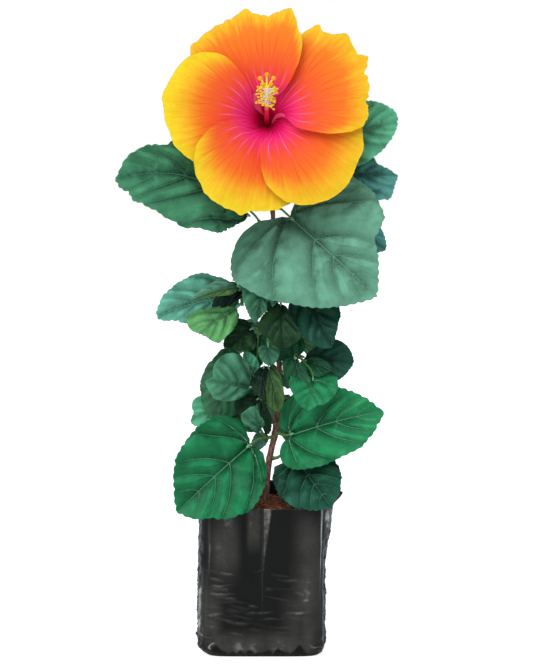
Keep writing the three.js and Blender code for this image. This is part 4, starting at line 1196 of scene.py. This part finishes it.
def make_foliage():
    """Each mass of leaves: its blades, their ribs, and its twig with the leaf stalks."""
    draw = seeded(SEED)
    small_draw = seeded(SEED + 1)
    number = 0
    for name, mass in MASSES.items():
        leaves = [dress_leaf(spec, draw) for spec in mass["leaves"]]
        if "grown" in mass:
            leaves += grown_leaves(mass, draw)
        blades, stalks = Shape(), Shape()
        path, out = twig_curve(mass)
        rooted = np.vstack([path[:1] - out * TWIG_ROOT, path])
        share = np.linspace(0, 1, len(rooted))
        radius = lerp(TWIG_RADIUS, STALK_RADIUS, share) + 0.12 * wander(rooted, 3, 4)
        add_tube(stalks, rooted, radius + 0.35 * hump(share - 0.05, 0.06), 12, 0)
        small = [dress_leaf(spec, small_draw) for spec in mass.get("small", [])]
        for k, leaf in enumerate(leaves + small):
            number += k < len(leaves)
            add_stalk(stalks, leaf, point_along(path, min(leaf["at"], LAST_STALK)))
            add_blade(blades, leaf, number + SMALL_SHIFT * (k >= len(leaves)),
                      BACK_FINENESS if "grown" in mass else 1.0)
        for line, thick in mass.get("shoots", []):
            curve = smooth_path(line, 8)
            add_tube(stalks, curve, thick * np.linspace(0.75, 1, len(curve)), STALK_SIDES, 2)
        piece(f"{name}_blades", blades, [*TONES.values(), UNDERSIDE, *RIBS.values()], [name])
        piece(f"{name}_stalks", stalks, [STALK_GREEN, JOINT_RED, RIBS["pale"]])


# Bloom, worked out in its own frame: +Z along its axis towards the front and +Y up its face
def bloom_place(points):
    """Places in the scene of points in the bloom's frame."""
    return np.asarray(points, float) @ BLOOM_AXES + THROAT


def bloom_local(point):
    """The point of the bloom's frame that a place in the scene has."""
    return (np.asarray(point, float) - THROAT) @ BLOOM_AXES.T


def funnel(radius):
    """How far forward a smooth petal would stand at a distance from the axis."""
    reflexed = np.clip((radius - SHOULDER) / (PETAL_REACH - SHOULDER), 0, None)
    return FUNNEL_DEPTH * (1 - np.exp(-(radius - CLAW_START) / FUNNEL_SCALE)) - REFLEX * reflexed ** 2


def opening(radius):
    """From 0 in the throat to 1 where the petals are spread."""
    return smoothstep(radius, *CLAW_OPENS)


def petal_height(number, petal, radius, share, swing, turn):
    """How far each point of a petal stands along the bloom's axis: the funnel, the climb over the
    next petal, the ruffled and crimped rim, the curled claw, and a fine grain along the veins."""
    plane = np.stack([radius * np.cos(turn), radius * np.sin(turn), np.full_like(radius, number * 31.0)], -1)
    lanes = np.stack([swing * 30 + 0 * radius, radius * 0.1, np.full_like(radius, number * 7.0)], -1)
    climb = -OVERLAP_LIFT * opening(radius) * turn / math.radians(OVERLAP_ANGLE)
    ruffle = RUFFLE * (radius / PETAL_REACH) ** 4 * np.sin(turn * RUFFLE_WAVES + petal["bearing"])
    crimp = (wander(plane, 9, 5) * 1.5 + wander(plane, 4, 6) * 0.5) * share ** 5
    swell = wander(plane, 30, 7) * 1.2 * opening(radius) * (1 - swing ** 6)
    grain = wander(lanes, 1.0, 8) * 0.16 * smoothstep(radius, 12, 30)
    curl = CLAW_CURL * hump(radius - 14, 6) * smoothstep(-swing, 0.72, 1.0) * (1 + 0.5 * wander(plane, 6, 9))
    return funnel(radius) + climb + ruffle + crimp + swell + grain + curl


def make_petal(number, petal):
    """One petal: fibrous, ridged along its veins, with a crimped and nicked margin."""
    rows, columns = PETAL_GRID
    swing = np.sin(np.linspace(-math.pi / 2, math.pi / 2, columns))
    bearings, reaches = np.array(petal["margin"]).T
    half = np.where(swing < 0, -bearings[0], bearings[-1])
    degrees = half * swing
    round_off = (1 - np.abs(swing) ** 2.5) ** 0.4
    wobble = np.stack([degrees, np.full(columns, number * 9.0), np.zeros(columns)], -1)
    nicks = petal["nicked"] * (wander(wobble, 3.2, number) * 1.3 - np.abs(wander(wobble, 1.6, number)) * 1.6)
    margin = np.interp(degrees, bearings, reaches) + nicks * round_off
    share = ((np.arange(rows) / (rows - 1)) ** 0.9)[:, None]
    swing = swing[None]
    radius = CLAW_START + share * (margin - CLAW_START)[None]
    turn = np.radians(swing * lerp(CLAW_HALF_ANGLE, half[None], opening(radius)))
    bearing = math.radians(petal["bearing"])
    height = petal_height(number, petal, radius, share, swing, turn)
    local = np.stack([radius * np.cos(bearing + turn), radius * np.sin(bearing + turn), height], -1)
    facing = unit(np.cross(np.gradient(local, axis=0), np.gradient(local, axis=1)))
    marks = np.stack([swing + 0 * radius, radius / 100, share + 0 * radius, 0 * radius], -1)
    half_thick = facing * PETAL_THICKNESS / 2
    shape = Shape(("Span", "Margin"))
    add_plate(shape, bloom_place(local + half_thick).reshape(-1, 3),
              bloom_place(local - half_thick).reshape(-1, 3), False, columns, (0, 1), marks.reshape(-1, 4))
    skins = [petal_skin(f"petal_{number}_{side}", petal["gold"], petal["rim"], pale, number * 7.0)
             for side, pale in (("face", 0.0), ("back", 0.35))]
    piece(f"petal_{number}_skin", shape, skins, [f"petal_{number}"])


def make_calyx():
    """Ribbed green cup with five pointed lobes, narrow bracts under it, and the flower stalk."""
    turn = TURN * np.arange(CALYX_SIDES) / CALYX_SIDES
    lobe = (1 + np.cos(PETAL_COUNT * turn)) / 2
    rib = CALYX_RIB * np.cos(4 * PETAL_COUNT * turn)

    def ring(radius, height):
        reach = np.broadcast_to(radius, turn.shape) + rib
        return np.stack([reach * np.cos(turn), reach * np.sin(turn),
                         np.broadcast_to(height, turn.shape)], -1)

    def inside(radius):
        return funnel(radius) - CALYX_CLEARANCE - 1.3 * OVERLAP_LIFT * opening(radius)

    profile = np.array(CALYX_OUTSIDE)
    cup_radius, cup_top = profile[-1]
    rim = lerp(SEPAL_REACH[0] + 2, SEPAL_REACH[1], lobe ** 0.8)
    rings = [ring(np.interp(height, profile[:, 1], profile[:, 0]), height)
             for height in np.linspace(profile[0, 1], cup_top, 26)]
    for share in (0.25, 0.5, 0.75, 1):
        rings.append(ring(lerp(cup_radius, rim, share),
                          lerp(cup_top, inside(rim) - SEPAL_THICKNESS, share)))
    rings += [ring(rim - 0.2, inside(rim - 0.2)), ring(SEPAL_REACH[0], inside(SEPAL_REACH[0])),
              ring(CALYX_FLOOR, -CALYX_CLEARANCE)]
    shape = Shape()
    add_rings(shape, bloom_place(rings), bloom_place([(0, 0, profile[0, 1]), (0, 0, -CALYX_CLEARANCE)]))
    share = np.linspace(0, 1, BRACT_STEPS)
    for bearing in TURN * np.arange(BRACT_COUNT) / BRACT_COUNT:
        out = np.array([math.cos(bearing), math.sin(bearing), 0])
        path = bezier([out * reach + (0, 0, height) for reach, height in BRACT_PATH], BRACT_STEPS)
        add_tube(shape, bloom_place(path), 0.75 * (1 - share ** 2) + 0.15, 6, 0)
    rise = unit(STEM_CURVE[-1] - STEM_CURVE[-2])
    start = STEM_CURVE[-1] + rise * GAP
    path = bezier([bloom_local(start), bloom_local(start + rise * FLOWER_STALK_BEND),
                   (0, 0, -CALYX_LENGTH - FLOWER_STALK_BEND), (0, 0, 2 - CALYX_LENGTH)], 40)
    share = np.linspace(0, 1, len(path))
    radius = lerp(TIP_RADIUS, FLOWER_STALK_END, share) + FLOWER_JOINT * hump(share - 0.72, 0.03)
    add_tube(shape, bloom_place(path), radius, 14, 1)
    piece("calyx_cup", shape, [rib_green("calyx_green", "#7FA548"), STALK_GREEN], ["calyx"])


def make_column():
    """Column with its anthers on fine filaments and five downy stigma pads."""
    draw = seeded(7)
    path = smooth_path(COLUMN_PATH, 30)
    share = np.linspace(0, 1, len(path))
    shape = Shape()
    foot = 1.7 * np.exp(-share / 0.04)
    add_tube(shape, bloom_place(path), COLUMN_RADIUS * (1 - 0.4 * share ** 0.5) + foot, 20, 0,
             np.stack([share, share], -1))
    tangent = unit(np.gradient(path, axis=0))
    for k in range(ANTHER_COUNT):
        at = lerp(*ANTHERS_ALONG, k / ANTHER_COUNT)
        root = point_along(path, at)
        along = tangent[int(at * (len(path) - 1))]
        side = unit(np.cross(along, (1, 0, 0)))
        turn = TURN * GOLDEN * k
        out = unit(math.cos(turn) * side + math.sin(turn) * np.cross(along, side)
                   + along * lerp(-0.1, 0.7, draw()))
        reach = lerp(*FILAMENT_REACH, draw())
        tip = root + out * reach + (0, 0, 0.5)
        line = bezier([root + out, root + out * 0.6 * reach, tip], 6)
        add_tube(shape, bloom_place(line), np.linspace(0.34, 0.18, 6), 5, 1)
        add_ball(shape, bloom_place(tip), lerp(*ANTHER_SIZE, draw()), 2, (5, 8), (1.15, 0.8, 0.85), 0.35, k)
    top = point_along(path, 0.98)
    for k in range(STIGMA_COUNT):
        turn = math.pi / 2 + TURN * k / STIGMA_COUNT
        end = top + STYLE_RISE + (STIGMA_SPREAD[0] * math.cos(turn), STIGMA_SPREAD[1] * math.sin(turn), 0)
        line = bezier([top, lerp(top, end, 0.5) + (0, 1.2, 0.4), end], 10)
        add_tube(shape, bloom_place(line), np.full(10, STYLE_RADIUS), 8, 4)
        add_ball(shape, bloom_place(end), STIGMA_SIZE, 3, (12, 18), (1, 0.8, 1), 0.12, k + 50)
    piece("column_and_anthers", shape, [column_skin(), *(pollen_gold(*kind) for kind in POLLEN_KINDS)],
          ["staminal_column"])


def make_ears():
    """The pale ears where petals curl back beside the column, each a thin bulging strip."""
    shape = Shape()
    across = np.linspace(-1, 1, 9)
    up = np.array([0, 0, 1])
    for corners, width in EARS:
        flat = smooth_path([(*corner, 0) for corner in corners], 8)
        radius = np.hypot(flat[:, 0], flat[:, 1])
        rise = funnel(radius) + 0.5 * OVERLAP_LIFT * opening(radius) + EAR_RISE
        curve = flat + rise[:, None] * up
        aside = unit(np.cross(np.gradient(flat, axis=0), up))
        half = width / 2 * np.sin(np.pi * np.linspace(0.04, 0.96, len(curve)) ** 0.8)[:, None, None]
        bulge = (1 - across ** 2)[None, :, None] * EAR_BULGE * up * half
        grid = curve[:, None] + aside[:, None] * half * across[None, :, None] + bulge
        under = bloom_place(grid - up * PETAL_THICKNESS).reshape(-1, 3)
        add_plate(shape, bloom_place(grid).reshape(-1, 3), under, False, len(across), (0, 0))
    piece("petal_ears", shape, [rib_green("petal_ear_pink", "#FC6088")])


# Grow bag and potting mix
def bag_square(bearing):
    """The bag's rounded square, as a reach that is 1 at the middle of each side."""
    c, s = np.cos(bearing), np.sin(bearing)
    return (np.abs(c) ** BAG_SQUARENESS + np.abs(s) ** BAG_SQUARENESS) ** (-1 / BAG_SQUARENESS)


def bag_side(bearing, height):
    """Distance of the film's outside from the bag's middle line."""
    grow = np.interp(height, *np.array(BAG_OUTSIDE).T)
    grow = grow + FOOT_TUCK * np.clip(1 - height / FOOT_ROUND, 0, 1) ** 2
    flare = RIM_FLARE * smoothstep(height, FLARE_START, RIM_FRONT) * np.clip(np.cos(bearing), 0, None) ** 2
    return bag_square(bearing) * (BAG_HALF + grow) + flare


def film_relief(place, height):
    """How far the film stands out at each point: folded edges, gussets, soft dents and fine creases."""
    x, y = place[..., 0], place[..., 1]
    front = smoothstep(np.abs(y), 44, 50)
    side = smoothstep(np.abs(x), 46, 50)
    folds = FOLD_RISE * hump(np.abs(x) - FOLD_AT, 0.9) * front * smoothstep(height, 4, 14)
    folds -= PLEAT_DEPTH * smoothstep(pleat(x, height), 0, 0.5) * front * (y < 0)
    folds += SEAM_RISE * hump(x - SEAM_AT, 0.8) * front * smoothstep(height, 16, 60)
    panels = 0.9 * np.sin(x * 0.2 + 0.6 * np.sin(height * 0.05)) * front * smoothstep(height, 20, 80)
    gusset = -GUSSET_DEPTH * hump(y, 9) * side * smoothstep(height, 25, 90)
    gusset += GUSSET_SEAM * hump(y, 1.3) * side
    gusset -= WAIST * (x > 0) * side * smoothstep(height, 108, 70)
    dents = wander(place * (1, 1, 0.35), 30, 1) * 1.1 + wander(place, 14, 2) * 0.5
    crease = np.clip(1 - np.abs(wander(place * (0.5, 0.5, 1.3), 11, 3)) * 3, 0, 1)
    crumple = crease ** 2 * 0.9 * (0.5 * np.exp(-height / 22) + 0.8 * side)
    corner = smoothstep(np.abs(x), 34, 46) * smoothstep(height, 26, 8)
    crackle = (1 - np.abs(wander(place, 4.5, 4)) * 3) * 0.2 * (side + np.exp(-height / 16))
    crackle += (1 - np.abs(wander(place, 8, 14)) * 3.4) * (corner + 0.5 * side)
    creases = np.maximum(rucks(x, height) * front, rucks(y, height) * side)
    return folds + panels + gusset + dents + crumple + crackle + RUCK_RISE * creases


def rucks(across, height):
    """Short creases that sag between the folds above the bag's foot, as ridges from 0 to 1."""
    draw = seeded(53)
    ridges = np.zeros_like(across)
    for _ in range(RUCK_COUNT):
        off = across - lerp(-42, 34, draw() ** 1.4)
        line = lerp(16, 70, draw()) + lerp(-0.3, 0.15, draw()) * off + lerp(-0.004, 0.014, draw()) * off ** 2
        taper = np.clip(1 - (off / lerp(4, 13, draw())) ** 2, 0, 1)
        ridges += lerp(0.3, 1, draw()) * taper * np.exp(-((height - line) / lerp(0.45, 1.1, draw())) ** 2)
    return np.clip(ridges, 0, 1)


def pleat(x, height):
    """From 0 outside to 1 inside the pleat that opens towards the rim at the middle of the front."""
    open_to = PLEAT_MOUTH * np.clip((height - PLEAT_FOOT) / (RIM_FRONT - PLEAT_FOOT), 0, 1)
    return np.clip(1 - np.abs(x - open_to / 2) / np.maximum(open_to / 2, 0.1), 0, 1)


def film_sheen_paint(place, height, relief):
    """How much painted sheen the film's colour carries at each point, from 0 to 1: a painted sheen in
    the open pleat, broad painted sheens beside the folds, painted highlights on the rucks and on the
    crumples of the gussets and the lower corners, and painted highlights along the folds themselves.
    Below a ragged line just above the foot it is 0, so the film's black shows there as painted shade."""
    x, y = place[..., 0], place[..., 1]
    front = smoothstep(np.abs(y), 37, 44)
    side = smoothstep(np.abs(x), 46, 50)
    # Painted sheens: broad bands of colour that stand in for reflected light.
    sheens = [strength * smoothstep(x, left - soft, left + soft) * smoothstep(x, right + soft, right - soft)
              * smoothstep(height, start, full) for strength, left, right, soft, start, full in SHEENS]
    sheen_paint = np.max(sheens, 0)
    # Painted highlights on the rucks, and the painted sheens made patchy.
    sheen_paint = sheen_paint * (0.9 + 0.5 * wander(place * (1, 1, 0.4), 12, 21)) + 0.25 * rucks(x, height)
    # Painted sheen in the open pleat, paler towards the rim.
    opened = smoothstep(pleat(x, height), 0, 0.3) * (y < 0)
    sheen_paint = lerp(sheen_paint, lerp(0.42, 0.6, smoothstep(height, 70, RIM_FRONT)), opened)
    # Painted highlights along the two folds and the middle seam.
    fold = hump(x - 42 - 0.035 * height, 0.9) * smoothstep(height, 6, 100)
    fold += 0.7 * hump(x + 42.5, 0.6) * smoothstep(height, 40, 90)
    fold += 0.22 * hump(x + 0.4, 0.4) * smoothstep(height, 24, 60)
    sheen_paint = front * np.maximum(sheen_paint, fold * (y < 0) * 0.9)
    # Painted sheen on the crumpled front edges of the gussets, lighter where the film stands out.
    crumple_sheen = 0.38 + 0.8 * wander(place * (1, 1, 0.6), 6, 22) + 0.3 * np.clip(relief, -1, 1)
    # Painted soft sheen on the rest of the gussets, with painted highlights on their rucks and along their
    # middle crease.
    plain = 0.2 + 0.34 * wander(place * (1, 1, 0.3), 16, 24) + 0.3 * rucks(y, height)
    plain += 0.5 * hump(y, 0.8) * smoothstep(height, 20, 90)
    sheen_paint += side * lerp(plain, crumple_sheen, smoothstep(-y, 30, 44))
    # Painted highlights on the crumples of the front's lower corners.
    corner = smoothstep(np.abs(x), 34, 44) * smoothstep(height, 24, 8) * front
    glint = np.clip(1 - 6 * np.abs(wander(place * (0.8, 0.8, 1.3), 8, 23)), 0, 1)
    sheen_paint = lerp(sheen_paint, 0.9 * glint, 0.8 * corner)
    # No painted sheen below a ragged line near the foot, so the film's black shows there as painted shade.
    foot = 2 + 13 * np.abs(wander(place * (1, 1, 0), 9, 31))
    return np.clip(sheen_paint, 0, 1) * smoothstep(height, foot - 0.5, foot + 1.5)


def make_bag():
    """Black film bag with its folded gussets, crumpled foot and ragged rim. Its inside has every third
    row of the outside, down to where the mix hides it."""
    columns, rows = BAG_GRID
    bearing = TURN * (np.arange(columns) + 0.5) / columns - math.pi / 2
    wrapped = (bearing + math.pi) % TURN - math.pi
    tuft = RIM_TUFT * hump(wrapped - TUFT_BEARING, TUFT_SPREAD)
    depth = bag_square(bearing) * BAG_HALF * np.sin(bearing)
    rim = lerp(RIM_FRONT, RIM_BACK, np.clip((depth + BAG_HALF) / (2 * BAG_HALF), 0, 1))
    around = np.stack([np.cos(bearing), np.sin(bearing), 0 * bearing], -1)
    rag = wander(around, 0.06, 9) * 0.7 + wander(around, 0.3, 8) * 0.6
    rag = rag * (1 - 0.8 * smoothstep(-around[:, 1], 0.6, 0.8))
    share = (np.arange(rows) / (rows - 1))[:, None]
    height = share * (rim + rag)[None]
    up_rim = height / rim[None]
    crumple = wander(around * (4, 4, 0), 0.22, 5) * smoothstep(np.abs(wrapped), 1.1, 0.5)
    reach = bag_side(bearing[None], height) + tuft[None] * smoothstep(up_rim, 0.86, 1.0)
    reach = reach + RIM_CRUMPLE * crumple[None] * smoothstep(up_rim, 0.9, 1.0)
    place = reach[..., None] * around[None] + height[..., None] * np.array([0, 0, 1])
    relief = film_relief(place, height) * smoothstep(height, 0, 5)
    outside = place + relief[..., None] * around[None]
    # Painted sheens and highlights of the film, which the piece keeps as marks for its colour.
    sheen_paint = film_sheen_paint(place, height, relief)
    within = slice(rows - 1, INSIDE_LOWEST, -3)
    inside = outside[within] - around[None] * FILM
    base = np.array([around * UNDERSIDE_REACH * k / UNDERSIDE_RINGS for k in range(1, UNDERSIDE_RINGS)])
    rings = np.concatenate([base, outside, inside])
    # The inside carries a third of the outside's painted sheen, and the underside none.
    painted_sheen = np.pad(np.concatenate([np.zeros(base.shape[:2]), sheen_paint, 0.3 * sheen_paint[within]]).ravel(), 1)
    last = np.arange(columns) + (len(rings) - 1) * columns + 1
    points = np.vstack([[(0, 0, 0)], rings.reshape(-1, 3), rings[-1].mean(0)])
    shape = Shape()
    shape.add(points, [(fan_faces(0, 1 + np.arange(columns))[:, ::-1], 0),
                       (strip_faces(len(rings), columns) + 1, 0), (fan_faces(len(points) - 1, last), 0)],
              np.stack([painted_sheen, painted_sheen], -1))
    piece("film_bag", shape, [blown_film()], ["grow_bag"])


def mix_level(place):
    """Height of the mix: heaped towards the stem, and crumbly."""
    heap = MIX_HEAP * np.exp(-((place[..., 0] - 2) ** 2 + (place[..., 1] + 2) ** 2) / HEAP_SPREAD ** 2)
    lumps = wander(place, 11, 11) * 2.2 + wander(place, 4, 12) * 1.4 + wander(place, 1.7, 13) * 0.7
    return MIX_LEVEL + 1 + heap + lumps


def make_mix():
    """Coir mix with a heaped, crumbly top, loose crumbs and fibres."""
    draw = seeded(41)
    columns, rows = MIX_GRID
    bearing = TURN * np.arange(columns) / columns
    side = bag_side(bearing, MIX_EDGE_HEIGHT) - MIX_ROOM
    side = side - GUSSET_ROOM * hump(side * np.sin(bearing), 11)
    share = ((np.arange(rows) + 1) / rows)[:, None, None]
    flat = np.stack([side * np.cos(bearing), side * np.sin(bearing), 0 * bearing], -1)[None] * share
    top = flat.copy()
    top[..., 2] = mix_level(flat)
    skirt = np.array([np.stack([flat[-1, :, 0] * tuck, flat[-1, :, 1] * tuck, np.full(columns, height)], -1)
                      for height, tuck in MIX_SKIRT])
    hub = np.array([[0, 0, mix_level(np.zeros(3))]])
    points = np.vstack([hub, top.reshape(-1, 3), skirt.reshape(-1, 3), [(0, 0, MIX_SKIRT[-1][0])]])
    last = np.arange(columns) + 1 + (rows + 1) * columns
    shape = Shape()
    shape.add(points, [(fan_faces(0, 1 + np.arange(columns)), 0),
                       (strip_faces(rows + 2, columns)[:, ::-1] + 1, 0),
                       (fan_faces(len(points) - 1, last[::-1]), 0)])

    def spot():
        turn, out = TURN * draw(), math.sqrt(draw())
        reach = out * (float(bag_side(np.array(turn), np.array(MIX_EDGE_HEIGHT))) - 6)
        place = np.array([reach * math.cos(turn), reach * math.sin(turn), 0])
        return place + (0, 0, float(mix_level(place)))

    for k in range(CRUMB_COUNT):
        size = lerp(*CRUMB_SIZE, draw() ** 2)
        add_ball(shape, spot() + (0, 0, 0.2 * size), size, int(draw() < 0.3), (5, 7),
                 (1, lerp(0.6, 1, draw()), 0.8), 0.5, k)
    for k in range(FIBRE_COUNT):
        start = spot() + (0, 0, 0.4)
        turn, length = TURN * draw(), lerp(*FIBRE_LENGTH, draw())
        way = np.array([math.cos(turn), math.sin(turn), 0])
        middle = start + way * 0.5 * length + (0, 0, lerp(0.5, 3, draw()))
        add_tube(shape, bezier([start, middle, start + way * length + (0, 0, lerp(-1, 0.6, draw()))], 9),
                 np.full(9, FIBRE_RADIUS), 5, 1)
    piece("mix_top", shape, [damp_coir("damp_coir", "#34190E", "#96572F"),
                             damp_coir("dry_coir", "#84482A", "#CC8C58")], ["potting_mix"])


# Studio
def area_light(name, place, aim, size, power):
    """A softbox of that width and height, turned to face its aim."""
    lamp = bpy.data.lights.new(name, "AREA")
    lamp.shape = "RECTANGLE"
    lamp.size, lamp.size_y = size
    lamp.energy = power
    made = bpy.data.objects.new(name, lamp)
    made.location = place
    made.rotation_euler = (Vector(aim) - Vector(place)).to_track_quat("-Z", "Y").to_euler()
    bpy.context.scene.collection.objects.link(made)


def make_backdrop():
    """A white backdrop that lights the plant like a soft sky, most from above."""
    world = bpy.data.worlds.new("studio")
    world.use_nodes = True
    tree = world.node_tree
    seen = add(tree, "LightPath").outputs["Is Camera Ray"]
    way = add(tree, "TexCoord").outputs["Generated"]
    height = add(tree, "SeparateXYZ", {}, (way,)).outputs[2]
    sky = add(tree, "MapRange", {}, (height, 0, 0.9, *SKY_LIGHT))
    strength = add(tree, "MapRange", {}, {0: seen, 3: sky, 4: 1.0})
    colour = add(tree, "Mix", COLOURS, {"Factor": seen, 6: hue(SKY_TINT), 7: hue("#FFFFFF")})
    link(tree, tree.nodes["Background"], Strength=strength, Color=colour.outputs[2])
    bpy.context.scene.world = world


def make_floor():
    """Plain pale floor. Its glow is seen but lights nothing, so it fades into the backdrop."""
    mesh = bpy.data.meshes.new("floor")
    mesh.from_pydata([(-FLOOR, -FLOOR, 0), (FLOOR, -FLOOR, 0), (FLOOR, FLOOR, 0), (-FLOOR, FLOOR, 0)],
                     [], [(0, 1, 2, 3)])
    finish, tree, shader = finish_of("pale_floor", Base_Color=hue("#DCDCDC"), Roughness=0.95,
                                     Specular_IOR_Level=0.1, Emission_Color=hue("#FFFFFF"))
    seen = add(tree, "LightPath").outputs["Is Camera Ray"]
    glow = add(tree, "MapRange", {}, {0: seen, 3: 0.0, 4: FLOOR_GLOW})
    link(tree, shader, Emission_Strength=glow)
    mesh.materials.append(finish)
    floor = bpy.data.objects.new("floor", mesh)
    bpy.context.scene.collection.objects.link(floor)


def make_lights():
    """A soft key from the upper left front, and two tall softboxes for sheen on leaves and film."""
    sun = bpy.data.lights.new("softbox", "SUN")
    sun.energy = KEY_POWER
    sun.angle = KEY_SPREAD
    key = bpy.data.objects.new("softbox", sun)
    key.rotation_euler = Vector(KEY_WAY).to_track_quat("-Z", "Y").to_euler()
    bpy.context.scene.collection.objects.link(key)
    for strip in SOFTBOXES:
        area_light(*strip)


def make_camera():
    """The camera at the photo's angle."""
    camera = bpy.data.cameras.new("camera")
    camera.lens = CAMERA_LENS
    camera.clip_end = CAMERA_SIGHT
    view = bpy.data.objects.new("camera", camera)
    view.location = CAMERA_PLACE
    view.rotation_euler = (CAMERA_TILT, 0, 0)
    bpy.context.scene.collection.objects.link(view)
    bpy.context.scene.camera = view


bpy.context.scene.view_settings.view_transform = "Standard"
make_backdrop()
make_floor()
make_lights()
make_camera()
make_bag()
make_mix()
make_stem()
make_foliage()
for number, petal in enumerate(PETALS, 1):
    make_petal(number, petal)
make_calyx()
make_column()
make_ears()
